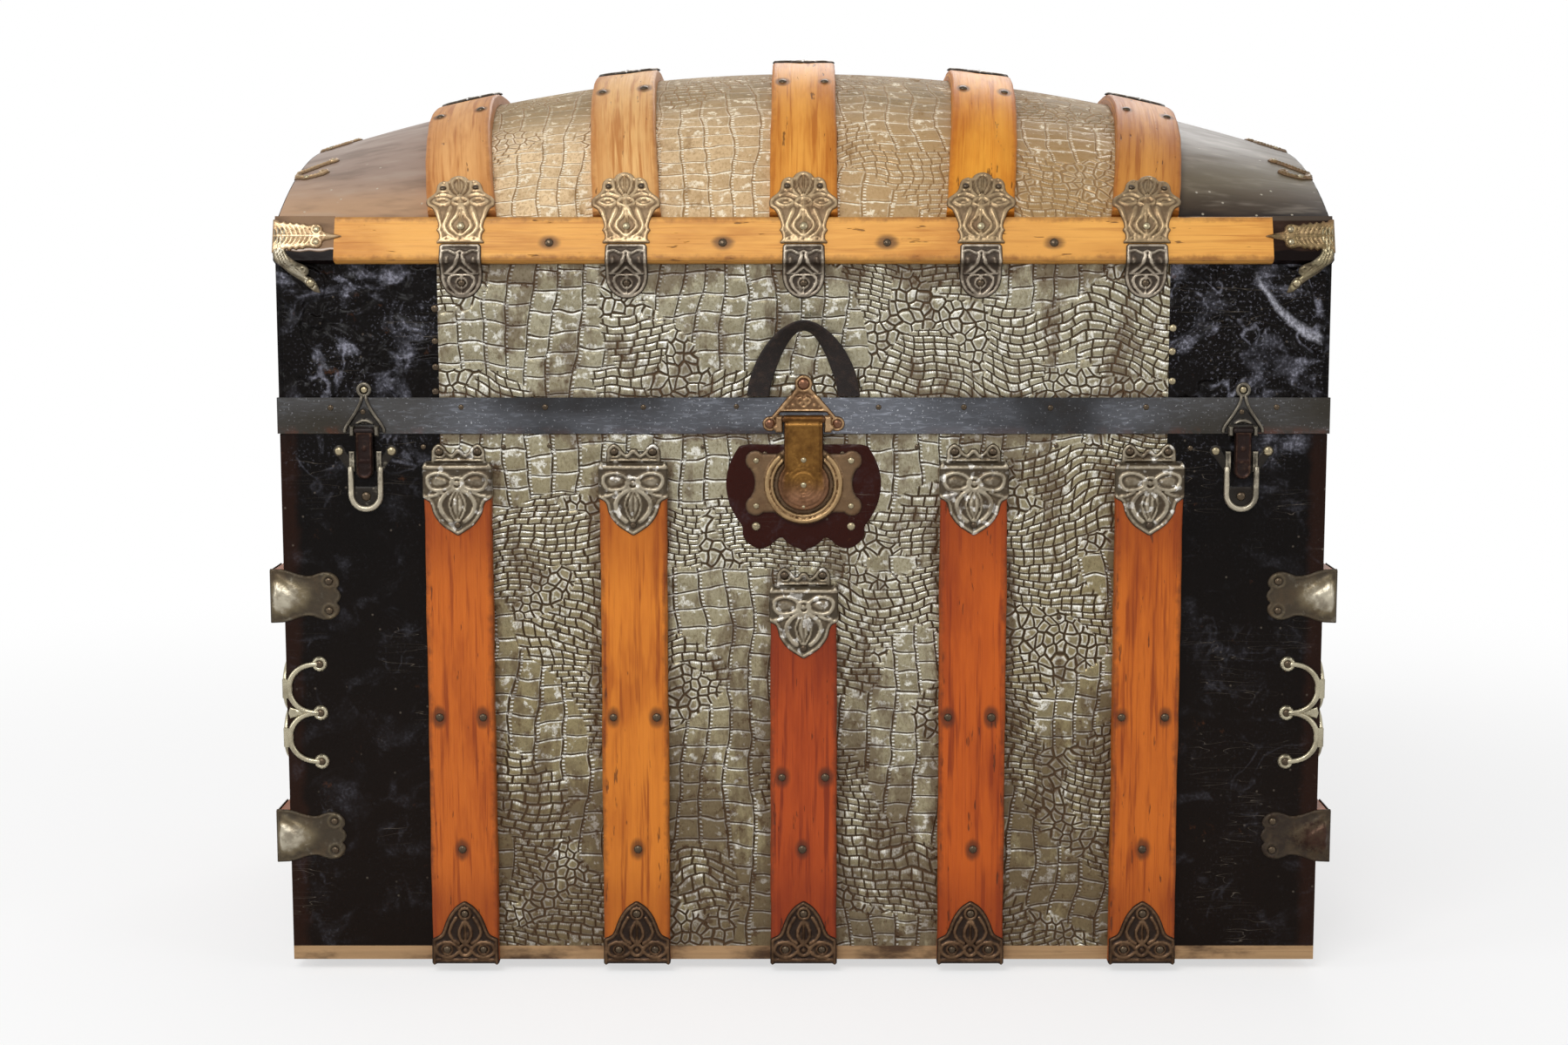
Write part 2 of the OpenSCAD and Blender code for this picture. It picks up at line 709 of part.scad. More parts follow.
module drawbolt_tongue() difference() {
    union() {
        translate([0, -draw_pin_y, draw_pin_z]) rotate([0, 90, 0])
            cylinder(h = 2 * draw_half_w, r = draw_barrel_r - 0.2, center = true);
        front_plate(half_d + keeper_t + 0.6, draw_t)
            translate([-draw_half_w, draw_pin_z - draw_length + 2])
                square([2 * draw_half_w, draw_length - 2]);
        translate([0, -half_d - keeper_t - 0.6 - draw_t, draw_pin_z - draw_length + 2])
            rotate([0, 90, 0]) cylinder(h = 2 * draw_half_w, r = 2, center = true);
    }
    translate([0, -draw_pin_y, draw_pin_z]) rotate([0, 90, 0])
        cylinder(h = 2 * draw_half_w + 2, r = draw_pin_r + pin_clear, center = true);
}

module drawbolt_tongue_left() color("#5c5648") translate([-draw_x, 0, 0]) drawbolt_tongue();

module drawbolt_tongue_right() color("#5c5648") translate([draw_x, 0, 0]) drawbolt_tongue();

// a raised U with two nailed ears and a nailed foot plate
module drawbolt_keeper() {
    outer_r = keeper_inner_r + keeper_rim;
    front_plate(half_d, keeper_t) difference() {
        union() {
            translate([0, keeper_z]) circle(outer_r, $fn = 48);
            translate([-outer_r, keeper_z]) square([2 * outer_r, keeper_top_z - keeper_z]);
        }
        translate([0, keeper_z]) circle(keeper_inner_r, $fn = 48);
        translate([-keeper_inner_r, keeper_z])
            square([2 * keeper_inner_r, keeper_top_z - keeper_z + 1]);
    }
    front_plate(half_d, 1.2) {
        for (side = [-1, 1])
            bar([side * (outer_r - 3), keeper_top_z - 4], [side * keeper_ear_x, keeper_top_z + 9], 4);
        translate([0, keeper_z]) circle(keeper_inner_r + 1);
    }
}

module drawbolt_keepers() color("#77705e") left_and_right()
    translate([draw_x, 0, 0]) drawbolt_keeper();

// ---------------------------------------------------------------- end handles

handle_z = (end_slat_z[0] + end_slat_z[1]) / 2 + 10;
handle_half = 82;
cap_length = 46;
cap_h = 40;
strap_t = 4;
strap_h = 26;
handle_lift = 20;

// cast loop that swallows the end of the handle strap
module handle_cap() {
    cap_depth = 14;
    cross_prism(half_w, cast_t) translate([handle_half, handle_z - cap_h / 2]) square([cap_length, cap_h]);
    translate([half_w + cast_t, handle_half, handle_z - strap_h / 2 - 3])
        linear_extrude(strap_h + 6) polygon([
            [0, 0], [cap_depth, 0], [cap_depth, 10], [cap_depth - 3, 22], [4, cap_length - 6],
            [0, cap_length - 6]
        ]);
}

module handle_caps() color("#7a7260") left_and_right() front_and_back() handle_cap();

// leather strap bowed out from one cap to the other
module end_handle() {
    mouth_x = half_w + cast_t + 7;
    count = 12;
    loft([for (y = steps(-handle_half + 0.3, handle_half - 0.3, count))
        let (x = mouth_x + handle_lift * (1 - pow(y / handle_half, 2)), h = strap_h / 2)
        [[x, y, handle_z - h], [x, y, handle_z + h],
         [x + strap_t, y, handle_z + h], [x + strap_t, y, handle_z - h]]]);
}

module end_handles() color("#3c322c") left_and_right() end_handle();

// ---------------------------------------------------------------- inside

module tray_cleats() color("burlywood") left_and_right()
    translate([inside_x - cleat_w, -inside_y + 8, tray_z - cleat_h])
        cube([cleat_w, 2 * inside_y - 16, cleat_h]);

module lift_out_tray() color("wheat") {
    x = inside_x - tray_gap;
    y = inside_y - tray_gap;
    difference() {
        translate([-x, -y, tray_z]) cube([2 * x, 2 * y, tray_h]);
        for (side = [-1, 1]) translate([side > 0 ? tray_t / 2 : -x + tray_t, -y + tray_t, tray_z + tray_t])
            cube([x - 1.5 * tray_t, 2 * (y - tray_t), tray_h]);
        for (side = [-1, 1]) cross_prism(side * (x - tray_t / 2) - tray_t, 2 * tray_t)
            bar([-30, tray_top_z - 26], [30, tray_top_z - 26], 11);
    }
}

// ---------------------------------------------------------------- lid

module lid_side_board() cross_prism(-half_w + tin_t, case_w - 2 * tin_t) polygon([
    [-board_y, lid_z], [-board_y, wall_top_z], [-board_y + rail_lean, spring_z],
    [-inside_y + rail_lean, spring_z], [-inside_y, wall_top_z], [-inside_y, lid_z]
]);

module lid_front_board() color("burlywood") lid_side_board();

module lid_back_board() color("burlywood") mirror([0, 1, 0]) lid_side_board();

// arched end boards, whose top edge follows the inside of the crown
module lid_end_boards() color("burlywood") left_and_right() loft([
    for (x = [inside_x, half_w - tin_t])
        [for (p = lid_end_outline(x, inside_y, lining_inset + lining_fit, lining[1] + lining_fit))
            [x, p.x, p.y]]
]);

module dome_shell() color("burlywood") dome_layer(
    concat([for (x = far_end_x) if (x < -tin_seam_x) x], croc_x, [for (x = end_x) if (x > tin_seam_x) x]),
    tin_foot, lining
);

module dome_croc_tin() color("darkkhaki") dome_layer(croc_x, tin_top, tin_foot);

module dome_end_tins() color("#4a4038") {
    dome_layer(far_end_x, tin_top, tin_foot);
    dome_layer(end_x, tin_top, tin_foot);
}

module lid_croc_tins() color("darkkhaki") front_and_back()
    translate([-tin_seam_x, -half_d, lid_z]) cube([2 * tin_seam_x, tin_t, wall_top_z - lid_z]);

// front strip, end plate and back strip of one sheet
module lid_corner_tins() color("#1c1614") left_and_right() {
    front_and_back() translate([tin_seam_x, -half_d, lid_z])
        cube([half_w - tin_seam_x, tin_t, wall_top_z - lid_z]);
    cross_prism(half_w - tin_t, tin_t)
        polygon(lid_end_outline(half_w - tin_t, board_y, 0, 0));
}

module lid_belt() color("#4b4e52") translate([0, 0, lid_z]) linear_extrude(belt_h) difference() {
    square([case_w + 2 * belt_t, case_d + 2 * belt_t], center = true);
    square([case_w, case_d], center = true);
}

// cross-section of the rail on the sloping edge, as [y, z]
function rail_section(grow = 0) = let (
    foot = rail_foot + rail_seat * rail_out - grow * rail_slope,
    head = foot + (rail_face_h + 2 * grow) * rail_slope,
    out = (rail_t + grow) * rail_out
) [foot, foot + out, head + out, head];

module lid_rails() color("#c8924a") front_and_back()
    cross_prism(-half_w + rail_cap_w, case_w - 2 * rail_cap_w) polygon(rail_section());

module rail_end_caps() color("#2a211c") left_and_right() front_and_back()
    cross_prism(half_w - rail_cap_w, rail_cap_w) polygon(rail_section());

module dome_slat(i) color("#c8924a") {
    w = slat_w / 2;
    section = [[-w, 0], [-w, slat_t - slat_bevel], [-w + slat_bevel, slat_t], [w - slat_bevel, slat_t],
               [w, slat_t - slat_bevel], [w, 0], [w / 2, 0], [0, 0], [-w / 2, 0]];
    loft([for (t = steps(-1, 1, dome_segments))
        [for (p = section) on_slat(dome_slat_x[i], t, p.x, p.y)]]);
}

// ---------------------------------------------------------------- lid hardware

clamp_seat = 0.35;
rail_seat = 0.02;

// frame on the outer face of the rail, down from its top edge
function rail_frame(x, down) = let (
    p = rail_foot + (rail_face_h - down) * rail_slope + (rail_t + rail_seat) * rail_out
) [[x, p.x, p.y], [1, 0, 0], [0, rail_out.x, rail_out.y]];

function tin_frame(x, z) = [[x, -half_d, z], [1, 0, 0], [0, -1, 0]];

// [distance up the slat or down the rail, half width]
rosette_on_slat = [
    [37, 2.5], [36, 5], [33.5, 6.6], [31, 7.4], [30, 11.5], [27.5, 14.6], [24, 14.2], [20, 16], [14, 19.4],
    [11, 21], [8.5, 25.2], [5, 25.8], [2, 24], [0, 23]
];
rosette_on_rail = [[0, 22.5], [2, 20], [5.5, 17.6], [10.5, 15.6], [14.5, 15.6], [18.5, 18], [22, 17.2]];
tongue_on_tin = [[0, 16.5], [6, 16.5], [11, 15.6], [16, 13.2], [20, 9.4], [22.6, 4]];
tongue_top_down = 22.6;

module sheet_loft(frames_and_widths) loft([
    for (fw = frames_and_widths) in_frame(fw[0], sheet_section(fw[1], clamp_seat, clamp_seat + clamp_t))
]);

// ring of a sheet that lies on top of a slat
function slat_sheet(x0, s, w) = [for (p = sheet_section(w, clamp_seat, clamp_seat + clamp_t))
    on_slat(x0, slat_t_at(x0, s), p.x, slat_t + p.y)];

module rosette_clamps() color("#8d8468") front_and_back() for (x0 = dome_slat_x)
    loft(concat(
        [for (step = rosette_on_slat) slat_sheet(x0, step[0], step[1])],
        [for (step = rosette_on_rail) in_frame(rail_frame(x0, step[0]),
            sheet_section(step[1], clamp_seat, clamp_seat + clamp_t))]
    ));

// a plate that bends over the rail's lower edge on to the wall of the lid
module tongue_plates() color("#57503f") front_and_back() for (x0 = dome_slat_x) {
    foot_z = (rail_foot + rail_t * rail_out).y;
    edge_y = -(rail_foot + rail_t * rail_out).x;
    sheet_loft(concat(
        [[rail_frame(x0, tongue_top_down), 14.5], [rail_frame(x0, tongue_top_down + 6), 16.2],
         [rail_frame(x0, rail_face_h + clamp_seat), 16]],
        [[[[x0, -edge_y + 2.5, foot_z - 3], [1, 0, 0], unit([0, -1, -0.35])], 16.2]],
        [for (step = tongue_on_tin) [tin_frame(x0, foot_z - 9 - step[0]), step[1]]]
    ));
}

// oval plate over the crown of each slat: [distance along the slat, half width]
apex_steps = [
    [-28, 3], [-24, 10], [-17, 16], [-10, 22], [-4, 26], [4, 26], [10, 22], [17, 16], [24, 10], [28, 3]
];

module apex_clamps() color("#57503f") for (x0 = dome_slat_x)
    loft([for (step = apex_steps) slat_sheet(x0, arch_half_length(x0) + step[0], step[1])]);

// cast leaf on the corner: one arm along the rail, one down on to the lid's wall
module corner_casting() {
    leaf = [[0, 8.5], [7, 10.5], [16, 10], [26, 8.6], [32, 9.4], [37, 8.4], [41, 4.4], [52, 0.8]];
    mid_down = rail_face_h * 0.48;
    uphill = [0, rail_slope.x, rail_slope.y];
    loft([for (step = leaf) let (f = rail_frame(half_w - step[0], mid_down))
        in_frame([f[0], uphill, f[2]], sheet_section(step[1], 0.1, cast_t))]);
    foot_z = (rail_foot + rail_t * rail_out).y;
    // [drop below the rail, distance from the end, half width]
    stem = [
        [8, 9, 5], [13, 13, 4.2], [18, 19, 4.6], [22, 24, 6.2], [27, 28.5, 5.6], [31, 32, 3.2], [34, 34, 0.8]
    ];
    loft(concat(
        [in_frame(rail_frame(half_w - 6, mid_down + 6), sheet_section(5.6, 0.2, cast_t - 0.2))],
        [in_frame(rail_frame(half_w - 6, rail_face_h + 0.2), sheet_section(5.6, 0.1, cast_t))],
        [for (step = stem) in_frame(tin_frame(half_w - step[1], foot_z - step[0]),
                                    sheet_section(step[2], 0.05, cast_t))]
    ));
}

module corner_castings() color("#a39a7c") left_and_right() front_and_back() corner_casting();

// small leaf clips that lap over the dome's end
clip_places = [-0.62, -0.16, 0.16, 0.62];
clip_steps = [[34, 3], [27, 8], [16, 6], [0, 9]];

module dome_clip(t) {
    lap = 10;
    frames = [for (step = clip_steps)
        let (x = half_w - step[0], p = arch_point(x, t),
             side = unit(arch_point(x, t + 0.01) - arch_point(x, t - 0.01)),
             slope = unit(arch_point(x + 1, t) - arch_point(x - 1, t)), n = unit(cross(slope, side)))
        [[p, side, n], step[1]]];
    edge = frames[len(frames) - 1][0];
    inward = -1 * unit([0, edge[2].y, edge[2].z]);
    // [drop over the edge, half width]
    lapped = [for (step = [[clamp_t, 9], [lap, 5]]) [[edge[0] + step[0] * inward, edge[1], [1, 0, 0]], step[1]]];
    loft([for (f = concat(frames, lapped))
        in_frame(f[0], sheet_section(f[1], clamp_seat, clamp_seat + clamp_t))]);
}

module dome_clips() color("#a39a7c") left_and_right() for (t = clip_places) dome_clip(t);

// leather strap: legs flat on the wall, turning on edge as it arches away
strap_foot_x = 35;
strap_rise = 57;
strap_bow = 13;
strap_fullness = 1.25;
strap_half_w = 8.3;

module lift_strap() color("#2d2825") {
    count = 20;
    strap_thick = 3;
    foot_z = lid_z + belt_h + 1;
    loft([for (u = steps(-1, 1, count))
        let (
            angle = 90 * u,
            place = [strap_foot_x * sin(angle) * (1 - 0.12 * pow(cos(angle), 2)),
                     -half_d - 0.2 - strap_bow * pow(cos(angle), strap_fullness),
                     foot_z + strap_rise * pow(cos(angle), strap_fullness)],
            turn = 62 * pow(cos(angle), 2),
            flat = [cos(angle), 0, -sin(angle)],
            outward = [sin(angle), 0, cos(angle)],
            across = [outward.x * cos(turn), -sin(turn), outward.z * cos(turn)],
            n = unit(cross(flat, across))
        )
        [for (p = sheet_section(strap_half_w, 0, strap_thick)) place + across * p.x - n * p.y * -1]]);
}

// ---------------------------------------------------------------- hinges

// plate on the back with a knuckle; half is 1 above the seam and -1 below
module leaf_profile(plate_y, low_z, high_z, web_z) {
    translate([plate_y, low_z]) square([leaf_t, high_z - low_z]);
    translate([hinge_y, seam_z]) circle(knuckle_r);
    polygon([[plate_y, web_z], [plate_y, web_z + sign(seam_z - web_z) * 2],
             [hinge_y - 1, seam_z], [hinge_y + 1, seam_z], [hinge_y + 1, web_z + sign(seam_z - web_z) * 2],
             [plate_y + leaf_t, web_z]]);
}

module pin_bore(x, r) translate([x, hinge_y, seam_z]) rotate([0, 90, 0])
    cylinder(h = hinge_w + 2, r = r, center = true);

module case_hinge_leaves() color("#5c5648") for (x = [-hinge_x, hinge_x]) difference() {
    union() {
        cross_prism(x - hinge_w / 2, hinge_w) translate([half_d, seam_z - case_leaf_h])
            square([leaf_t, case_leaf_h - 6]);
        for (side = [-1, 1])
            cross_prism(side > 0 ? x + lid_knuckle_half + hinge_gap : x - hinge_w / 2,
                        hinge_w / 2 - lid_knuckle_half - hinge_gap)
                leaf_profile(half_d, seam_z - case_leaf_h, seam_z - 6, seam_z - 9);
    }
    pin_bore(x, hinge_pin_r + 0.02);
}

module lid_hinge_leaves() color("#5c5648") for (x = [-hinge_x, hinge_x]) difference() {
    union() {
        cross_prism(x - hinge_w / 2, hinge_w) translate([half_d + belt_t, seam_z + 5])
            square([leaf_t, belt_h - 5]);
        cross_prism(x - lid_knuckle_half, 2 * lid_knuckle_half)
            leaf_profile(half_d + belt_t, seam_z + 5, seam_z + belt_h, seam_z + 8);
    }
    pin_bore(x, hinge_pin_r + pin_clear);
}

module hinge_pins() color("#8a8577") for (x = [-hinge_x, hinge_x])
    translate([x, hinge_y, seam_z]) rotate([0, 90, 0])
        cylinder(h = hinge_w + 1, r = hinge_pin_r, center = true);

// ---------------------------------------------------------------- nails

module nail_head() {
    cylinder(h = nail_h * 0.45, r = nail_r);
    translate([0, 0, nail_h * 0.45]) cylinder(h = nail_h * 0.55, r1 = nail_r, r2 = nail_r * 0.45);
}

module front_nail(x, y, z) translate([x, -y, z]) rotate([90, 0, 0]) nail_head();

pair_half = 17;
slat_nail_z = [floor_z + 0.219 * case_h, floor_z + 0.4714 * case_h];
middle_pair_z = floor_z + 0.357 * case_h;

module case_nails() color("#4a443a") {
    for (x = case_slat_x) {
        middle = x == 0;
        front_nail(x, slat_face_y, slat_nail_z[0]);
        for (side = [-1, 1])
            front_nail(x + side * pair_half, slat_face_y, middle ? middle_pair_z : slat_nail_z[1]);
    }
    mirror([0, 1, 0]) for (x = case_slat_x) {
        front_nail(x, slat_face_y, slat_nail_z[0]);
        for (side = [-1, 1]) front_nail(x + side * pair_half, slat_face_y, slat_nail_z[1]);
    }
}

rail_nail_x = half_w * [-0.48, -0.153, 0.158, 0.473];
dome_nail_station = 5;

module lid_nails() color("#4a443a") {
    front_and_back() for (x = rail_nail_x) {
        f = rail_frame(x, rail_face_h * 0.6);
        translate(f[0]) rotate([90 - atan2(rail_out.y, -rail_out.x), 0, 0]) nail_head();
    }
    for (x0 = dome_slat_x, half = [-1, 1], side = [-1, 1]) {
        t = half * (dome_nail_station + 0.5) * 2 / dome_segments;
        n = slat_normal(x0, t);
        translate(on_slat(x0, t, side * pair_half, slat_t)) rotate([0, acos(n.z), atan2(n.y, n.x)])
            nail_head();
    }
}

// ---------------------------------------------------------------- assembly

floor_board();
bottom_runners();
front_board();
back_board();
end_boards();
front_croc_tin();
back_croc_tin();
corner_tins();
front_slat(0);  // front_slat_1
front_slat(1);  // front_slat_2
front_slat(2);  // front_slat_3
front_slat(3);  // front_slat_4
front_slat(4);  // front_slat_5
back_slats();
end_slats();
crown_clamps();
foot_clamps();
end_slat_clamps();
corner_braces();
lock_backing();
lock_plate();
lock_case();
lock_bolt();
drawbolt_keepers();
handle_caps();
end_handles();
tray_cleats();
case_nails();
case_hinge_leaves();
hinge_pins();
lid_front_board();
lid_back_board();
lid_end_boards();
dome_shell();
dome_croc_tin();
dome_end_tins();
lid_croc_tins();
lid_corner_tins();
lid_belt();
lid_rails();
rail_end_caps();
dome_slat(0);  // dome_slat_1
dome_slat(1);  // dome_slat_2
dome_slat(2);  // dome_slat_3
dome_slat(3);  // dome_slat_4
dome_slat(4);  // dome_slat_5
rosette_clamps();
tongue_plates();
apex_clamps();
corner_castings();
dome_clips();
lift_strap();
hasp_plate();
drawbolt_plates();
lid_nails();
lid_hinge_leaves();
lock_hasp();
drawbolt_tongue_left();
drawbolt_tongue_right();
lift_out_tray();
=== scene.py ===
import math

import bpy
import numpy as np
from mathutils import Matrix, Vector


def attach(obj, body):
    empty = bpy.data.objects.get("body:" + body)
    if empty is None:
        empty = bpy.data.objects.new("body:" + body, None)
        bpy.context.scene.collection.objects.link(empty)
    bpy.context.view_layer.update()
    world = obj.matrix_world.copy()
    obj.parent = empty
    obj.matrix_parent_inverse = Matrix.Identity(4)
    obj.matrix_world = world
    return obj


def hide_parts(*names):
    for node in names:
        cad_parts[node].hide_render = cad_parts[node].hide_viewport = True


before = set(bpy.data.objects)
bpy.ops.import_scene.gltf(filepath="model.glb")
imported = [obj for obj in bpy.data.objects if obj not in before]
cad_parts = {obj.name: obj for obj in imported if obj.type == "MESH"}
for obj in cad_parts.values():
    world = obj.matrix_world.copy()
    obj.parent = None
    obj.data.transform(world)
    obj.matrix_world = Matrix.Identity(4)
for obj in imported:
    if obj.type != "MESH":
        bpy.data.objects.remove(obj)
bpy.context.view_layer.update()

# Sizes are in millimetres, as on a trunk maker's drawing; meshes are made in metres.
MM = 0.001


# ------------------------------------------------------------------ camera, floor and light

eye = bpy.data.cameras.new("eye")
eye.lens = 55.86
eye.sensor_width = 36
eye.shift_x = -0.0125
camera = bpy.data.objects.new("camera", eye)
camera.location = (0, -2.12, 0.599)
camera.rotation_euler = (math.radians(82.75), 0, 0)
bpy.context.scene.collection.objects.link(camera)
bpy.context.scene.camera = camera
bpy.context.scene.view_settings.view_transform = "Standard"


def soft_lamp(name, place, aim, width, height, watts, colour=(1, 1, 1)):
    light = bpy.data.lights.new(name, "AREA")
    light.shape = "RECTANGLE"
    light.size, light.size_y = width, height
    light.energy = watts
    light.color = colour
    lamp = bpy.data.objects.new(name, light)
    lamp.location = place
    lamp.rotation_euler = (Vector(aim) - Vector(place)).to_track_quat("-Z", "Y").to_euler()
    bpy.context.scene.collection.objects.link(lamp)


soft_lamp("front_top_lamp", (-0.8, -2.3, 2.4), (0, -0.2, 0.45), 1.5, 0.9, 38)
soft_lamp("window_lamp", (-0.25, -2.3, 1.55), (0, -0.2, 0.5), 0.34, 0.22, 5.5)
soft_lamp("right_lamp", (2.3, -1.6, 1.3), (0, 0, 0.35), 1.0, 1.2, 8)
soft_lamp("left_lamp", (-2.5, -1.2, 1.2), (0, 0, 0.35), 1.0, 1.2, 14)
soft_lamp("back_lamp", (0.4, 2.5, 2.2), (0, 0, 0.4), 1.6, 1.0, 26)


# ------------------------------------------------------------------ nodes and shader expressions

def fill(tree, node, values):
    """Links or sets a node's inputs, by name or number."""
    for key, value in values.items():
        socket = node.inputs[key]
        if isinstance(value, bpy.types.NodeSocket):
            tree.links.new(value, socket)
        else:
            socket.default_value = (*value, 1) if socket.type == "RGBA" else value


def put(tree, kind, values=(), **settings):
    """A new node in a tree."""
    node = tree.nodes.new(kind)
    for key, setting in settings.items():
        setattr(node, key, setting)
    fill(tree, node, dict(values))
    return node


class Tone:
    """A socket of a finish. Arithmetic on it adds Math nodes."""

    def __init__(self, finish, socket):
        self.finish, self.socket = finish, socket

    def _maths(self, operation, *values):
        return self.finish.put("ShaderNodeMath", enumerate(values), operation=operation)[0]

    def __add__(self, other): return self._maths("ADD", self, other)
    def __radd__(self, other): return self._maths("ADD", other, self)
    def __sub__(self, other): return self._maths("SUBTRACT", self, other)
    def __rsub__(self, other): return self._maths("SUBTRACT", other, self)
    def __mul__(self, other): return self._maths("MULTIPLY", self, other)
    def __rmul__(self, other): return self._maths("MULTIPLY", other, self)
    def __truediv__(self, other): return self._maths("DIVIDE", self, other)
    def __pow__(self, other): return self._maths("POWER", self, other)
    def __abs__(self): return self._maths("ABSOLUTE", self)

    def low(self, other): return self._maths("MINIMUM", self, other)
    def high(self, other): return self._maths("MAXIMUM", self, other)
    def floor(self): return self._maths("FLOOR", self)
    def part(self): return self._maths("FRACT", self)
    def sine(self): return self._maths("SINE", self)

    def step(self, start, end, low=0.0, high=1.0):
        """Smooth step from low at start to high at end."""
        flip = start > end
        return self.finish.put("ShaderNodeMapRange", {
            "Value": self, "From Min": min(start, end), "From Max": max(start, end),
            "To Min": high if flip else low, "To Max": low if flip else high},
            interpolation_type="SMOOTHSTEP")["Result"]


class Outputs(dict):
    """The outputs of one node as Tones, by name or number."""

    def __init__(self, finish, node):
        super().__init__()
        for number, socket in enumerate(node.outputs):
            self[number] = Tone(finish, socket)
            self.setdefault(socket.name, self[number])


class Finish:
    """A material, from its maker's recipe."""

    def __init__(self, name, **sockets):
        self.material = bpy.data.materials.new(name)
        self.material.use_nodes = True
        self.tree = self.material.node_tree
        self.tree.nodes.clear()
        self.surface = put(self.tree, "ShaderNodeBsdfPrincipled")
        self.out = put(self.tree, "ShaderNodeOutputMaterial", {"Surface": self.surface.outputs[0]})
        self.set(**sockets)

    def set(self, **sockets):
        """Sets sockets of the surface; Base_Color stands for Base Color."""
        fill(self.tree, self.surface, {key.replace("_", " "): getattr(value, "socket", value)
                                       for key, value in sockets.items()})
        return self.material

    def put(self, kind, values=(), **settings):
        values = {key: getattr(value, "socket", value) for key, value in dict(values).items()}
        return Outputs(self, put(self.tree, kind, values, **settings))

    def place(self):
        """Where the surface is on its body, in millimetres."""
        where = self.put("ShaderNodeTexCoord")["Object"]
        return self.put("ShaderNodeMapping", {"Vector": where, "Scale": [1 / MM] * 3})[0]

    def unrolled(self):
        """Where the surface is on its sheet or slat, in millimetres."""
        return self.put("ShaderNodeTexCoord")["UV"]

    def apart(self, vector):
        node = self.put("ShaderNodeSeparateXYZ", {0: vector})
        return node[0], node[1], node[2]

    def join(self, x, y, z=0.0):
        return self.put("ShaderNodeCombineXYZ", {0: x, 1: y, 2: z})[0]

    def stretched(self, where, by):
        return self.put("ShaderNodeVectorMath", {0: where, 1: by}, operation="MULTIPLY")[0]

    def noise(self, where, size, detail=2.0, rough=0.5, twist=0.0, colour=False, by=None):
        """Cloudy noise whose blotches are about size millimetres, or longer along an axis that by squeezes."""
        if by:
            where = self.stretched(where, by)
        node = self.put("ShaderNodeTexNoise", {
            "Vector": where, "Scale": 1 / size, "Detail": detail, "Roughness": rough, "Distortion": twist})
        return node["Color"] if colour else node[0]

    def cells(self, where, size, feature="F1", chance=1.0):
        """Distance within cells of about size millimetres, to their seed or to their edge."""
        return self.put("ShaderNodeTexVoronoi", {"Vector": where, "Scale": 1 / size, "Randomness": chance},
                        feature=feature, voronoi_dimensions="2D")["Distance"]

    def random(self, value):
        return self.put("ShaderNodeTexWhiteNoise", {"W": value}, noise_dimensions="1D")["Value"]

    def mix(self, share, a, b):
        return self.put("ShaderNodeMix", {0: share, 6: a, 7: b}, data_type="RGBA")[2]

    def bump(self, height, strength=1.0):
        """Relief of height millimetres."""
        return self.put("ShaderNodeBump", {"Height": height, "Strength": strength, "Distance": MM})[0]

    def own(self, name):
        return self.put("ShaderNodeAttribute", attribute_name=name)["Fac"]


def shade(red, green, blue):
    """A colour from its 0 to 255 values."""
    return tuple((c / 255 / 12.92) if c <= 10.3 else ((c / 255 + 0.055) / 1.055) ** 2.4
                 for c in (red, green, blue))


def tinted(tone, *by):
    """A colour times one number, or times one for each channel."""
    return tuple(min(1, c * k) for c, k in zip(tone, by * 3 if len(by) == 1 else by))


# ------------------------------------------------------------------ floor and sky

def paper_floor():
    finish = Finish("paper_floor", Roughness=0.9, Base_Color=shade(250, 250, 250))
    seen = finish.put("ShaderNodeLightPath")["Is Camera Ray"]
    white = finish.put("ShaderNodeEmission", {"Color": (1, 1, 1), "Strength": 1.0})[0]
    x, y, z = finish.apart(finish.place())
    far = ((x * x + y * y) ** 0.5).step(700, 1900, 0.62, 1.0)
    both = finish.put("ShaderNodeMixShader", {0: seen * far, 1: finish.surface.outputs[0], 2: white})[0]
    fill(finish.tree, finish.out, {"Surface": both.socket})
    return finish.material


# The sky lights the trunk less than it shows itself.
sky_light, sky_shown = 0.42, 1.0
world = bpy.data.worlds.new("studio")
bpy.context.scene.world = world
world.use_nodes = True
sky = world.node_tree
sky.nodes.clear()
rays = put(sky, "ShaderNodeLightPath").outputs
shown = rays["Is Camera Ray"]
for ray in ("Is Glossy Ray", "Is Transmission Ray"):
    shown = put(sky, "ShaderNodeMath", {0: shown, 1: rays[ray]}, operation="MAXIMUM").outputs[0]
dim, bright = [put(sky, "ShaderNodeBackground", {"Color": (1, 1, 1), "Strength": strength}).outputs[0]
               for strength in (sky_light, sky_shown)]
choice = put(sky, "ShaderNodeMixShader", {0: shown, 1: dim, 2: bright})
put(sky, "ShaderNodeOutputWorld", {"Surface": choice.outputs[0]})

floor_mesh = bpy.data.meshes.new("floor")
floor_mesh.from_pydata([(-6, -6, 0), (6, -6, 0), (6, 6, 0), (-6, 6, 0)], [], [(0, 1, 2, 3)])
floor = bpy.data.objects.new("floor", floor_mesh)
bpy.context.scene.collection.objects.link(floor)
floor_mesh.materials.append(paper_floor())

# ------------------------------------------------------------------ finishes

# Width and height of the hide's big and small scales.
big_w, big_h = 18.5, 15.5
small_w, small_h = 9.6, 6.1


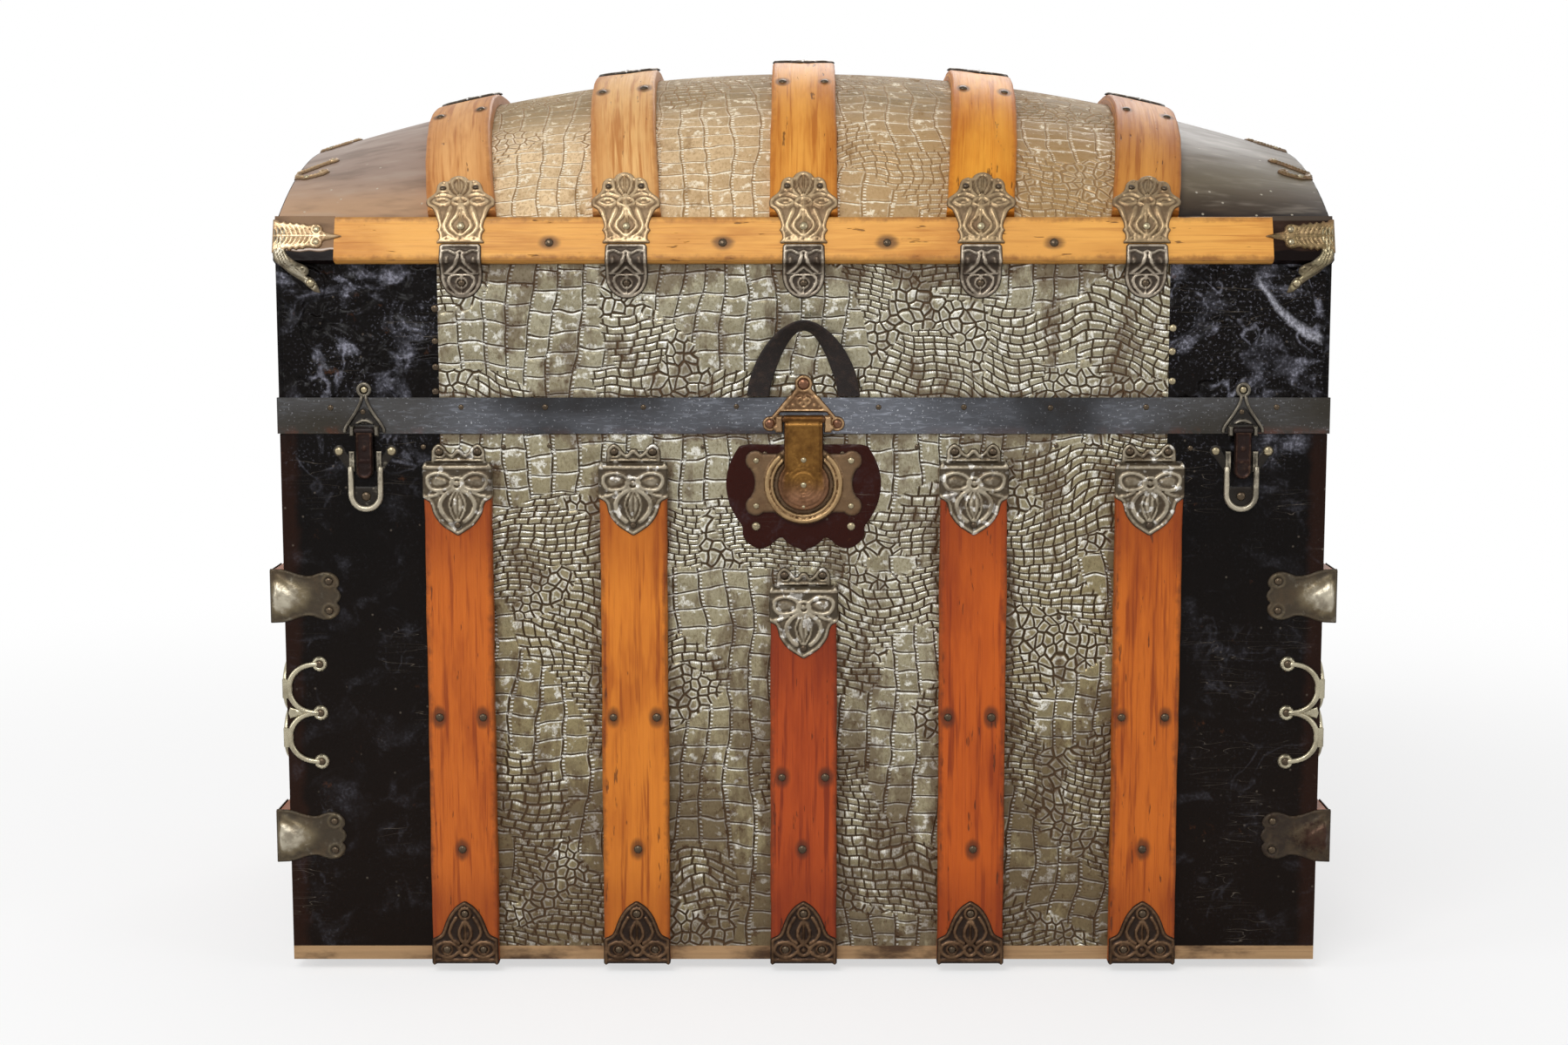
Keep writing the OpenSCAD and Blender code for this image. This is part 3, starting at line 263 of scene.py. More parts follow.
def hide_relief(finish, where, lean=0.0):
    """Crocodile pattern: its height, painted highlights along its crests, a tint for each scale and the way up it.

    lean asks for small scales."""
    x, y, _ = finish.apart(where)
    dx, dy, dz = finish.apart(finish.noise(where, 125, 1, 0.5, colour=True))
    wx, wy, wz = finish.apart(finish.noise(where, 26, 1, 0.5, colour=True))
    # columns of big scales, each with a comb of teeth along one seam
    across = (x + dx * 44 + wx * 6) / big_w
    column = across.floor()
    fx = across.part() * big_w
    along = (y + dy * 26 + wy * 9) / big_h + finish.random(column) * 4
    fy = along.part() * big_h
    seam = fx.low(big_w - fx)
    cutting = fy.low(big_h - fy)
    teeth = ((y + wy * 10) * (2 * math.pi / 2.9)).sine().step(-0.3, 0.5)
    comb = fx.step(0.6, 1.0) * fx.step(2.9, 2.3)
    cut = seam.step(0.1, 1.0) * cutting.step(0.05, 0.8)
    big = cut * 0.72 + seam.low(cutting).step(0.4, 4.5) * 0.28 - comb * (1 - teeth) * 0.45
    # painted highlights along each big scale's upper edge, beside its cuts and on the comb's teeth
    big_highlight = (fy.step(13.4, 14.2) * fy.step(15.3, 14.8) + cutting.step(0.5, 0.9) * cutting.step(1.8, 1.2) * 0.25
                + fx.step(17.0, 17.3) * fx.step(18.2, 17.8) * 0.35 + comb * teeth * 1.3)
    # rows of small scales, laid like bricks on a flowing course
    level = (y + dy * 85 + wy * 9) / small_h
    row = level.floor()
    fv = level.part() * small_h
    run = (x + dz * 46 + wz * 10) / small_w + finish.random(row) * 7.0
    fu = run.part() * small_w
    side = fu.low(small_w - fu)
    rise = fv.low(small_h - fv)
    small_cut = side.step(0.1, 1.1) * rise.step(0.05, 0.95)
    small = small_cut * 0.7 + side.step(0.4, 3.0) * rise.step(0.3, 2.4) * 0.3
    tick = ((x + dz * 46) * (2 * math.pi / 2.0)).sine().step(0.0, 0.8)
    # painted highlight along each small scale's upper edge
    small_highlight = (fv.step(3.6, 4.4) * fv.step(5.9, 5.3) * (0.45 + 0.55 * tick) + rise.step(0.4, 0.8)
                  * rise.step(1.6, 1.1) * 0.25) * side.step(0.4, 1.2)
    # cobbles between them
    stone_gap = finish.cells(finish.join(x + wx * 14, y + wy * 14), 8.2, "DISTANCE_TO_EDGE", chance=0.8)
    stone = stone_gap.step(0.02, 0.14) * 0.7 + stone_gap.step(0.05, 0.35) * 0.3
    # painted highlight inside each cobble's rim
    stone_highlight = stone_gap.step(0.08, 0.14) * stone_gap.step(0.30, 0.2) * 0.6
    zone = finish.noise(where, 92, 0, 0.5, by=(0.8, 1, 0))
    fine = (zone + lean).step(0.492, 0.512)
    finest = finish.noise(where, 60, 0, 0.5).step(0.55, 0.57)
    rows = small * (1 - finest) + stone * finest
    rows_highlight = small_highlight * (1 - finest) + stone_highlight * finest
    dome = big * (1 - fine) + rows * fine
    crest_highlight = big_highlight * (1 - fine) + rows_highlight * fine
    tint = (finish.random(column * 7.3 + along.floor() * 1.7) * (1 - fine)
            + finish.random(row * 5.1 + run.floor() * 2.3) * fine)
    grade = (fy / big_h) * (1 - fine) + (fv / small_h) * fine
    return dome, crest_highlight, tint, grade


def embossed_tin(name, hollow, plate, highlight_tone, stain, shaded_right_plate=None, stain_from=0.5, depth=1.0, metallic=0.6):
    """Tin plate stamped to look like crocodile hide, under old varnish, with painted highlights on its crests and
    painted glints. The tone given for the right is for the dome's sheet only, and paints that side darker as shade.
    """
    on_dome = shaded_right_plate is not None
    finish = Finish(name, Specular_IOR_Level=0.12 if on_dome else 0.3)
    lean, back = 0.0, 0.0
    if on_dome:
        where = finish.unrolled()
    else:
        x, y, z = finish.apart(finish.place())
        where = finish.join(x, z)
        # small scales on the right, in a course under the clamps and along the lid's lower edge
        course = z.step(374, 364) * z.step(328, 342) * 0.10 - z.step(374, 392) * 0.07
        lower_right = x.step(10, 50) * z.step(395, 380) * 0.06 - x.step(20, -10) * 0.012
        on_lid = z.step(482, 476) * 0.14 + x.step(30, 70) * x.step(215, 185) * 0.07 - x.step(60, 20) * 0.05
        above = z.step(440, 446)
        lean = (course + lower_right) * (1 - above) + on_lid * above
    dome, crest_highlight, tint, grade = hide_relief(finish, where, lean)
    u, v, _ = finish.apart(where)
    mottle = finish.noise(where, 3.4, 4, 0.7, by=(1.6, 1, 1))
    shine = finish.noise(where, 10, 3, 0.6)
    cloud = finish.noise(where, 64, 4, 0.62)
    speck = finish.noise(where, 5, 3, 0.7)
    pale = finish.noise(where, 22, 3, 0.6)
    if on_dome:
        # the right of the dome's sheet is painted darker, as shade, with weaker painted highlights and glints
        base = finish.mix(u.step(-260, 240), plate, shaded_right_plate)
        # less light reaches the tin as it curves back to the crown
        back = abs(v).step(180, 105)
        base = finish.mix(back * 0.85, base, shade(120, 102, 72))
        crest_highlight = crest_highlight * (1 - u.step(-60, 220) * 0.5) * (1 - back * 0.6)
        shine = shine - u.step(-60, 220) * 0.03
    else:
        beside_lock = u.step(10, 50) * u.step(130, 112)
        dull = (v.step(455, 60) * (0.92 - beside_lock * 0.4) + abs(u).step(140, 170) * v.step(440, 400) * 0.5
                + u.step(130, 300) * 0.3)
        base = finish.mix(dull, plate, tinted(plate, 0.70, 0.62, 0.46))
    # each scale painted darker towards its lower edge, as shade; pale patches and each scale's tint are tone
    base = finish.mix(pale.step(0.42, 0.72) * 0.45 + (tint - 0.45) * 0.7 + (0.5 - grade) * 0.3, base,
                      tinted(plate, 0.56, 0.52, 0.46))
    base = finish.mix(mottle.step(0.46, 0.64) * 0.62, base, tinted(plate, 0.46, 0.41, 0.29))
    colour = finish.mix(dome.step(0.05, 0.5), hollow, base)
    # painted highlights along the scales' crests, and painted glints on their domes
    colour = finish.mix(crest_highlight * (0.42 + speck.step(0.4, 0.6) * 0.58), colour, highlight_tone)
    glint = (shine + (tint - 0.5) * 0.10).step(0.56, 0.66) * dome.step(0.4, 0.9) * mottle.step(0.66, 0.46)
    colour = finish.mix(glint * 0.75, colour, highlight_tone)
    dirt = finish.noise(where, 34, 5, 0.72, by=(1, 0.45, 1))
    low = 0.0
    if not on_dome:
        # painted shade beside the slats, under the band and under the rail, with stain towards the bottom
        beside = abs(abs(u) - 134).low(abs(abs(u) - 268)).low(abs(u)).step(37, 26) * v.step(412, 404)
        under = v.step(419, 429) * v.step(440, 439) + v.step(467, 457) * v.step(445, 446) + v.step(538, 552)
        low = v.step(330, 30) * 0.14 + beside * 0.10 + under * 0.14
    # the stain mask below carries both the stains and this painted shade
    worn = (dirt + low).step(stain_from, stain_from + 0.13)
    fleck = finish.noise(where, 9, 4, 0.72).step(0.55, 0.64)
    colour = finish.mix(worn * 0.62 + fleck * 0.3 + (1 - dome).high(0.0) * worn * 0.3, colour, stain)
    return finish.set(
        Base_Color=colour,
        Metallic=(1 - worn * 0.7) * (1 - back) * metallic,
        Roughness=0.16 + 0.2 * cloud + 0.25 * worn + 0.35 * back,
        Normal=finish.bump((dome * 1.3 + crest_highlight * 0.12 + speck * 0.3 + pale * 1.2 + cloud * 1.6) * depth),
    )


def japanned_tin(name, base, lower, rust_share=0.03, gloss=0.08):
    """Sheet iron under black asphalt varnish, dented and scratched, with painted highlights on its crumpled upper
    panels.
    """
    finish = Finish(name, Specular_IOR_Level=gloss)
    where = finish.place()
    x, y, z = finish.apart(where)
    dent = finish.noise(where, 58, 1, 0.45, by=(1, 1, 0.8))
    crease = finish.noise(where, 42, 2, 0.5, 0.8)
    fold = abs(crease - 0.5).step(0.0, 0.09)
    buckle = finish.noise(where, 17, 2, 0.5)
    pit = finish.noise(where, 6, 2, 0.5)
    peel = finish.noise(where, 2.4, 3, 0.6)
    patch = finish.noise(where, 46, 1)
    upper = z.step(404, 470)
    on_end = abs(x).step(401, 405)
    seam = z.step(396, 408) * z.step(436, 424)
    colour = finish.mix(z.step(430, 60) * 0.8 + finish.noise(where, 40, 4, 0.6) * 0.5 - 0.25, base, lower)
    # painted highlights: broad soft patches on the crumpled swells, thin ridge lines, and a fine sparkle
    swell = finish.noise(where, 34, 4, 0.6, 0.8, by=(0.8, 1, 1.1))
    broad_highlight = swell.step(0.51, 0.69) * (0.25 + buckle.step(0.42, 0.62) * 0.75)
    ridge = abs(crease - 0.47).step(0.035, 0.0) * patch.step(0.5, 0.62) * buckle.step(0.4, 0.56)
    sparkle_highlight = peel.step(0.56, 0.64) * (0.10 + patch.step(0.4, 0.62) * 0.6 + broad_highlight * 0.9)
    painted_highlight = (broad_highlight * 0.95 + ridge * 0.8) * (0.4 + peel.step(0.38, 0.6) * 0.6) + sparkle_highlight * 0.42
    # the painted highlights show mostly on the upper panels and along the seam
    shown = (0.10 + 0.90 * upper).high(seam * 0.5) * (1 - on_end * 0.75) if rust_share else 0.08
    colour = finish.mix(painted_highlight * shown, colour, shade(130, 130, 142))
    # one long pleat at the lid's right: a bump, with a painted highlight along it
    off = 398 - x
    pleat_with_highlight = abs(z - 503 - off * 0.35 - off * off * 0.012 + (buckle - 0.5) * 9).step(6, 1)
    pleat_with_highlight = pleat_with_highlight * off.step(52, 42) * off.step(-3, 2) * y.step(0, -1) * rust_share / 0.03
    colour = finish.mix(pleat_with_highlight * (0.35 + peel.step(0.4, 0.6) * 0.5), colour, shade(176, 176, 186))
    corner = (abs(x) + (buckle - 0.5) * 12).step(390, 398) * abs(y).step(229, 237) * (1 - upper)
    colour = finish.mix(corner * 0.35, colour, shade(52, 27, 16))
    scratch_line = finish.noise(where, 16, 1, 0.4, 0.5, by=(0.3, 1, 2.6))
    scratch = abs(scratch_line - 0.5).step(0.005, 0.0) * patch.step(0.55, 0.62)
    rust = finish.noise(where, 26, 5, 0.7).step(0.67 - rust_share, 0.75)
    speck = finish.cells(finish.join(x + y, z + y * 0.3), 30)
    speck = speck.step(0.04, 0.015) * finish.noise(where, 33, 2).step(0.5, 0.56)
    colour = finish.mix(rust * 0.7, colour, shade(74, 44, 26))
    colour = finish.mix(scratch * 0.4 + speck * 0.3, colour, shade(122, 112, 100))
    height = (dent * (0.6 + 7.0 * upper) + buckle * (0.15 + 1.9 * upper) + fold * (0.15 + 2.2 * upper)
              + pit * (0.1 + 0.35 * upper) + peel * 0.12) * (1 - on_end * 0.6) + pleat_with_highlight * 2
    return finish.set(
        Base_Color=colour,
        Roughness=0.18 + 0.24 * finish.noise(where, 8, 3) + rust * 0.3,
        Normal=finish.bump(height * 1.0),
    )


def dome_end_tin():
    """Bronzed varnish on the dome's ends, with soft streaks; the right end is painted darker, as shade, and black near
    its rail.
    """
    finish = Finish("bronzed_tin", Specular_IOR_Level=0.12)
    where = finish.place()
    x, y, z = finish.apart(where)
    cloud = finish.noise(where, 62, 3, 0.5, by=(0.45, 1, 1))
    streak = finish.noise(where, 17, 3, 0.55, by=(0.3, 1, 1))
    level = z + (cloud - 0.5) * 16
    left = finish.mix(level.step(603, 632), shade(176, 142, 112), shade(152, 130, 116))
    left = finish.mix(level.step(600, 594), left, shade(146, 118, 96))
    right = finish.mix(level.step(598, 608), shade(24, 14, 9), shade(60, 48, 35))
    right = finish.mix(level.step(607, 626), right, shade(100, 89, 70))
    right = finish.mix(level.step(625, 650), right, shade(120, 110, 98))
    # the right end painted darker than the left, as shade
    colour = finish.mix(x.step(-120, 120), left, right)
    colour = finish.mix(streak.step(0.46, 0.68) * 0.4, colour, shade(84, 70, 56))
    colour = finish.mix(streak.step(0.46, 0.3) * 0.18, colour, shade(190, 176, 158))
    fleck = finish.cells(finish.join(x, y), 26).step(0.05, 0.02) * cloud.step(0.5, 0.55)
    colour = finish.mix(fleck * 0.6, colour, shade(200, 190, 170))
    return finish.set(Base_Color=colour, Roughness=0.28 + 0.2 * streak,
                      Normal=finish.bump(cloud * 1.2 + streak * 0.3 - fleck * 0.3))


def rail_cap_tin():
    """Varnished tin over the rails' ends: dull on its face, black and glossy where it turns under; the right caps' face
    is painted darker as shade, and thin highlight lines are painted along their edges.
    """
    finish = Finish("end_cap_tin", Specular_IOR_Level=0.05)
    where = finish.place()
    x, y, z = finish.apart(where)
    share = x.step(-120, 120)
    wave = finish.noise(where, 22, 2, 0.5)
    cloud = finish.noise(where, 16, 4, 0.6, by=(0.5, 1, 1.5))
    level = z + (wave - 0.5) * 7
    # the right caps' face painted darker than the left ones', as shade
    face = finish.mix(share, shade(132, 104, 78), shade(34, 21, 15))
    face = finish.mix(cloud.step(0.45, 0.7) * 0.5, face, shade(70, 52, 42))
    # painted highlight along the top of the right caps' face
    face = finish.mix(z.step(592.6, 594) * share * 0.5, face, shade(96, 86, 76))
    colour = finish.mix(level.step(571, 569.8), face, shade(16, 9, 8))
    # painted highlight line along the turn of the left caps
    colour = finish.mix(abs(level - 571.4).step(0.9, 0.2) * (1 - share) * 0.6, colour, shade(226, 214, 204))
    return finish.set(Base_Color=colour, Roughness=0.22 + 0.2 * cloud,
                      Normal=finish.bump(cloud * 0.6 + wave * 1.4, 0.8))


def varnished_oak(name, tone, edge, grain_seed=0.0, half=26.0, grime=(), gloss=0.26, nails=(), wear=1.0):
    """Slat oak under orange shellac; u runs across the slat and v along it.

    The colour darkens from one v to another, and dirt rings each nail."""
    finish = Finish(name, Specular_IOR_Level=gloss)
    u, v, _ = finish.apart(finish.unrolled())
    where = finish.join(u, v, grain_seed)
    pore = finish.noise(where, 1.5, 4, 0.6, by=(1, 0.018, 1))
    ring = finish.noise(where, 9, 2, 0.55, 0.6, by=(1, 0.045, 1))
    wave = (ring * 34).sine() * 0.5 + 0.5
    cloud = finish.noise(where, 34, 4, 0.62, by=(1, 0.25, 1))
    haze = finish.noise(where, 90, 2, 0.5, by=(1, 0.6, 1))
    streak = finish.noise(where, 5, 3, 0.6, by=(1, 0.04, 1))
    dark = tinted(tone, 0.50, 0.36, 0.26)
    pale = tinted(tone, 1.2, 1.36, 1.55)
    colour = finish.mix(wave * 0.45 + pore * 0.5, pale, tone)
    colour = finish.mix(pore.step(0.54, 0.72) * 0.6, colour, dark)
    colour = finish.mix(cloud.step(0.42, 0.70) * 0.8, colour, tinted(tone, 0.68, 0.56, 0.44))
    colour = finish.mix(haze.step(0.54, 0.36) * 0.65, colour, pale)
    colour = finish.mix(streak.step(0.51, 0.66) * 0.85 * wear, colour, dark)
    worn = finish.noise(where, 16, 3, 0.65, by=(1, 0.16, 1)).step(0.50, 0.64)
    colour = finish.mix(worn * (0.4 + 0.5 * pore) * wear, colour, pale)
    rim = (abs(u) + finish.noise(where, 9, 4, 0.65) * 9).step(half - 0.5, half + 5.5)
    colour = finish.mix(rim * 0.75, colour, edge)
    rubbed = (abs(u) + finish.noise(where, 22, 3, 0.6) * 11).step(half + 2.5, half + 6.5)
    colour = finish.mix(rubbed * 0.4, colour, tinted(tone, 1.1, 1.3, 1.6))
    for start, full in grime:
        dull = v.step(start, full) * (cloud * 0.7 + streak * 0.7 + abs(u).step(half * 0.2, half) * 0.35)
        colour = finish.mix(dull * 0.7, colour, dark)
    for across, along in nails:
        beside, below = u - across, v - along
        reach = beside * beside + below * below * 0.45 + (cloud - 0.5) * 55 + (streak - 0.5) * 45
        colour = finish.mix(reach.step(52, 8) * 0.75, colour, shade(58, 28, 14))
    nick = finish.noise(where, 5, 3, 0.7, by=(1, 0.14, 1)).step(0.655, 0.70)
    colour = finish.mix(nick * 0.7, colour, shade(66, 32, 14))
    return finish.set(
        Base_Color=colour,
        Roughness=0.34 + 0.22 * pore,
        Normal=finish.bump(pore * 0.3 - nick * 0.6 + cloud * 0.5 + wave * 0.05, 0.8),
    )


def raw_board(name, tone, dark, along="x", dirt=0.4):
    """Unpainted pine or poplar; the grain runs along one axis."""
    finish = Finish(name, Specular_IOR_Level=0.2)
    where = finish.place()
    squeeze = {"x": (0.03, 1, 1), "y": (1, 0.03, 1), "z": (1, 1, 0.03)}[along]
    ring = (finish.noise(where, 16, 3, 0.55, 0.3, by=squeeze) * 46).sine() * 0.5 + 0.5
    pore = finish.noise(where, 1.4, 3, 0.6, by=squeeze)
    grime = finish.noise(where, 34, 5, 0.65, by=tuple(max(k, 0.4) for k in squeeze)).step(0.44, 0.66)
    colour = finish.mix(ring * 0.5 + pore * 0.3, tone, tinted(tone, 0.72))
    colour = finish.mix(grime * dirt, colour, dark)
    return finish.set(Base_Color=colour, Roughness=0.62 + 0.2 * pore,
                      Normal=finish.bump(pore * 0.3 + ring * 0.12, 0.6))


def stamped_metal(name, recess, body, ridge, metallic=0.8, rough=0.24, top=2.2, far=None, to_far=None, glint_tone=None):
    """Thin pressed plate: dirt in the hollows, rubbed metal on the ridges.

    far is the body's tone at the right, a painted shade there, or its own tone where to_far says; top is the height of
    a rubbed ridge."""
    finish = Finish(name, Specular_IOR_Level=0.35)
    where = finish.place()
    lift = finish.own("relief")
    grain = finish.noise(where, 5, 4, 0.65)
    blot = finish.noise(where, 17, 4, 0.6)
    hammer = finish.noise(where, 9, 2, 0.5)
    rub = (lift / top + (grain - 0.5) * 0.6).step(0.5, 1.0)
    deep = (lift / top + (grain - 0.5) * 0.3).step(0.6, 0.2)
    share = to_far(*finish.apart(where)) if to_far else finish.apart(where)[0].step(-200, 200)
    # far: painted shade on the right, or the metal's own tone where to_far says
    near = finish.mix(share, body, far) if far else body
    edge = finish.mix(share, ridge, tinted(far, 1.7)) if far else ridge
    colour = finish.mix(grain.step(0.35, 0.65) * 0.5, near, tinted(body, 0.72))
    glint = hammer.step(0.56, 0.7) * grain.step(0.42, 0.6)
    colour = finish.mix(rub * 0.7 + glint * 0.4, colour, edge)
    colour = finish.mix(deep * 0.85, colour, recess)
    # painted glints: bright spots on the raised metal
    if glint_tone:
        glint_spot = finish.noise(where, 7, 2, 0.5).step(0.58, 0.66) * (1 - deep) * grain.step(0.3, 0.5)
        colour = finish.mix(glint_spot * 0.75, colour, glint_tone)
    colour = finish.mix(blot.step(0.47, 0.66) * 0.55, colour, tinted(body, 0.42, 0.34, 0.28))
    return finish.set(
        Base_Color=colour,
        Metallic=metallic * (1 - deep * 0.5),
        Roughness=rough + 0.24 * grain + deep * 0.15,
        Normal=finish.bump(grain * 0.45 + hammer * 0.9 + finish.noise(where, 1.6, 2) * 0.14, 0.8),
    )


def plain_metal(name, body, dirt, metallic=0.85, rough=0.28, share=0.5, brush=(1, 1, 1), fine=5, painted_sheen=None):
    """Bare or tarnished metal, with blotches and fine scratches; the sheen tone is a painted cool highlight."""
    finish = Finish(name, Specular_IOR_Level=0.35)
    where = finish.place()
    grain = finish.noise(where, fine, 4, 0.65, by=brush)
    blot = finish.noise(where, 24, 4, 0.62)
    line = finish.noise(where, 12, 1, 0.4, 0.5, by=(0.25, 1, 2.6))
    scratch = abs(line - 0.5).step(0.008, 0.0) * blot.step(0.48, 0.6)
    colour = finish.mix(blot.step(0.42, 0.72) * share + (grain - 0.5) * 0.4, body, dirt)
    if painted_sheen:
        x, y, z = finish.apart(where)
        end = abs(x).step(215, 315)
        colour = finish.mix(end * 0.9, colour, shade(46, 41, 32))
        rust = z.step(437, 430) * finish.noise(where, 30, 4, 0.7).step(0.42, 0.62)
        colour = finish.mix(rust * (0.25 + end * 0.5), colour, shade(84, 44, 26))
        # painted highlight: cool patches and streaks, and fine bright flecks
        patch = finish.noise(where, 60, 2, by=(0.35, 1, 0.7)).step(0.42, 0.62) * (1 - end * 0.7)
        streak = finish.noise(where, 3.6, 3, 0.6, by=(0.3, 1, 1.6)).step(0.5, 0.7)
        fleck = finish.noise(where, 1.9, 2, 0.5).step(0.64, 0.70)
        colour = finish.mix(patch * (0.36 + 0.5 * streak), colour, painted_sheen)
        colour = finish.mix(fleck * (0.1 + 0.5 * patch), colour, shade(212, 214, 220))
    colour = finish.mix(scratch * (0.12 if painted_sheen else 0.5), colour, tuple(min(1, c * 2.2 + 0.03) for c in body))
    return finish.set(
        Base_Color=colour,
        Metallic=metallic - blot.step(0.5, 0.8) * 0.3,
        Roughness=rough + 0.25 * (grain - 0.3),
        Normal=finish.bump(grain * 0.35 + blot * 0.9, 0.7),
    )


def old_leather(name, tone, worn):
    """Hard black strap leather, cracked and rubbed brown."""
    finish = Finish(name, Specular_IOR_Level=0.2)
    where = finish.place()
    x, y, z = finish.apart(where)
    pebble = finish.cells(finish.join(x + y * 0.7, z + y * 0.4), 1.7, "DISTANCE_TO_EDGE").step(0.0, 0.2)
    crack = finish.noise(where, 7, 4, 0.7)
    colour = finish.mix(crack.step(0.45, 0.7) * 0.6, tone, worn)
    return finish.set(Base_Color=colour, Roughness=0.5 + 0.25 * crack,
                      Normal=finish.bump(pebble * 0.22 + crack * 0.5, 0.8))


front_tin = embossed_tin("embossed_tin_front", shade(60, 46, 27), shade(165, 158, 134),
                         shade(242, 240, 230), shade(70, 48, 24))
dome_tin = embossed_tin("embossed_tin_dome", shade(150, 118, 78), shade(232, 202, 160),
                        shade(252, 240, 214), shade(138, 104, 62), shade(156, 122, 76), 0.57, 0.55, 0.3)
black_tin = japanned_tin("japanned_tin", shade(9, 6, 5), shade(20, 11, 6))
bronzed_tin = dome_end_tin()
cap_tin = rail_cap_tin()
raw_pine = raw_board("raw_pine", shade(196, 160, 112), shade(120, 86, 52), "x", 0.35)
pine_up = raw_board("raw_pine_ends", shade(192, 156, 108), shade(120, 86, 52), "y", 0.35)
floor_wood = raw_board("floor_wood", shade(172, 138, 100), shade(64, 44, 30), "x", 0.95)
runner_wood = raw_board("runner_wood", shade(120, 78, 44), shade(58, 38, 26), "x", 0.6)
tray_wood = raw_board("tray_wood", shade(205, 172, 124), shade(150, 112, 70), "x", 0.25)
belt_steel = plain_metal("belt_steel", shade(46, 46, 48), shade(26, 21, 18), 0.4, 0.26, 0.8, (0.3, 1, 1.5), 9,
                         shade(146, 150, 160))
tin_plate = stamped_metal("tinned_plate", shade(30, 22, 14), shade(98, 86, 68), shade(176, 166, 146),
                          glint_tone=shade(232, 228, 220))
# the right ones painted darker, as shade
bronze_plate = stamped_metal("bronzed_plate", shade(86, 65, 42), shade(168, 142, 108), shade(212, 188, 150), top=2.5,
                             far=shade(124, 106, 80))
dark_plate = stamped_metal("dark_plate", shade(22, 17, 12), shade(80, 68, 56), shade(186, 174, 156))
foot_plate = stamped_metal("foot_plate", shade(18, 11, 7), shade(54, 37, 25), shade(116, 90, 66))
cast_metal = plain_metal("cast_metal", shade(150, 140, 112), shade(70, 58, 40), 0.8, 0.26, 0.7)
nickel_metal = plain_metal("nickelled_cast", shade(176, 168, 144), shade(84, 70, 48), 0.85, 0.22, 0.6)
nail_metal = plain_metal("nail_iron", shade(82, 70, 56), shade(36, 27, 20), 0.85, 0.24, 0.5)
bright_nail = plain_metal("nail_bright", shade(160, 148, 120), shade(74, 60, 40), 0.9, 0.24, 0.5)
brass_plate = stamped_metal("lock_brass", shade(46, 30, 18), shade(134, 106, 76), shade(166, 138, 98), top=4.4)
hasp_brass = stamped_metal("hasp_brass", shade(44, 24, 8), shade(88, 56, 20), shade(142, 102, 48), top=4.4,
                           far=shade(112, 80, 58), to_far=lambda x, y, z: abs(x).step(13, 17).high(z.step(396, 380)))
copper_plate = stamped_metal("hasp_copper", shade(44, 28, 16), shade(122, 92, 64), shade(176, 144, 106))
pewter_plate = stamped_metal("pewter_plate", shade(40, 30, 20), shade(112, 100, 78), shade(200, 192, 172), top=4.6,
                             far=shade(46, 30, 23), to_far=lambda x, y, z: x.step(0, 100) * z.step(220, 180))
tongue_plate = stamped_metal("tongue_plate", shade(10, 6, 5), shade(40, 22, 17), shade(110, 86, 68), top=4.4)
dark_cast = stamped_metal("dark_cast", shade(14, 12, 10), shade(46, 42, 38), shade(122, 115, 102), top=2.2)
keeper_cast = stamped_metal("keeper_cast", shade(18, 15, 12), shade(44, 39, 34), shade(196, 186, 164), top=2.2)
# the right ones painted darker, as shade
leaf_cast = stamped_metal("leaf_cast", shade(96, 70, 42), shade(188, 158, 120), shade(228, 206, 170), top=3.1,
                          far=shade(102, 86, 58))
# the right ones painted darker, as shade
stem_cast = stamped_metal("leaf_stem_cast", shade(46, 38, 27), shade(134, 124, 102), shade(208, 200, 180), top=3.1,
                          far=shade(128, 118, 92))
copper_nail = plain_metal("nail_copper", shade(114, 80, 60), shade(58, 38, 28), 0.85, 0.22, 0.6)
backing_red = japanned_tin("oxblood_backing", shade(44, 13, 6), shade(34, 9, 4), 0.0, 0.1)
strap_leather = old_leather("strap_leather", shade(34, 28, 26), shade(64, 50, 42))
hinge_steel = plain_metal("hinge_steel", shade(92, 86, 76), shade(52, 38, 28), 0.8, 0.3, 0.6)


# ------------------------------------------------------------------ finishes on the solid nodes

def dress(material, *nodes):
    for name in nodes:
        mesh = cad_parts[name].data
        mesh.materials.clear()
        mesh.materials.append(material)


dress(front_tin, "front_croc_tin", "back_croc_tin", "lid_croc_tins")
dress(black_tin, "corner_tins", "lid_corner_tins")
dress(cap_tin, "rail_end_caps")
dress(raw_pine, "front_board", "back_board", "lid_front_board", "lid_back_board", "dome_shell")
dress(pine_up, "end_boards", "lid_end_boards", "tray_cleats")
dress(floor_wood, "floor_board")
dress(runner_wood, "bottom_runners")
dress(tray_wood, "lift_out_tray")
dress(belt_steel, "lid_belt")
dress(hinge_steel, "case_hinge_leaves", "lid_hinge_leaves", "hinge_pins")
dress(cast_metal, "handle_caps")
dress(brass_plate, "lock_case", "lock_bolt")

# ------------------------------------------------------------------ sizes of the trunk

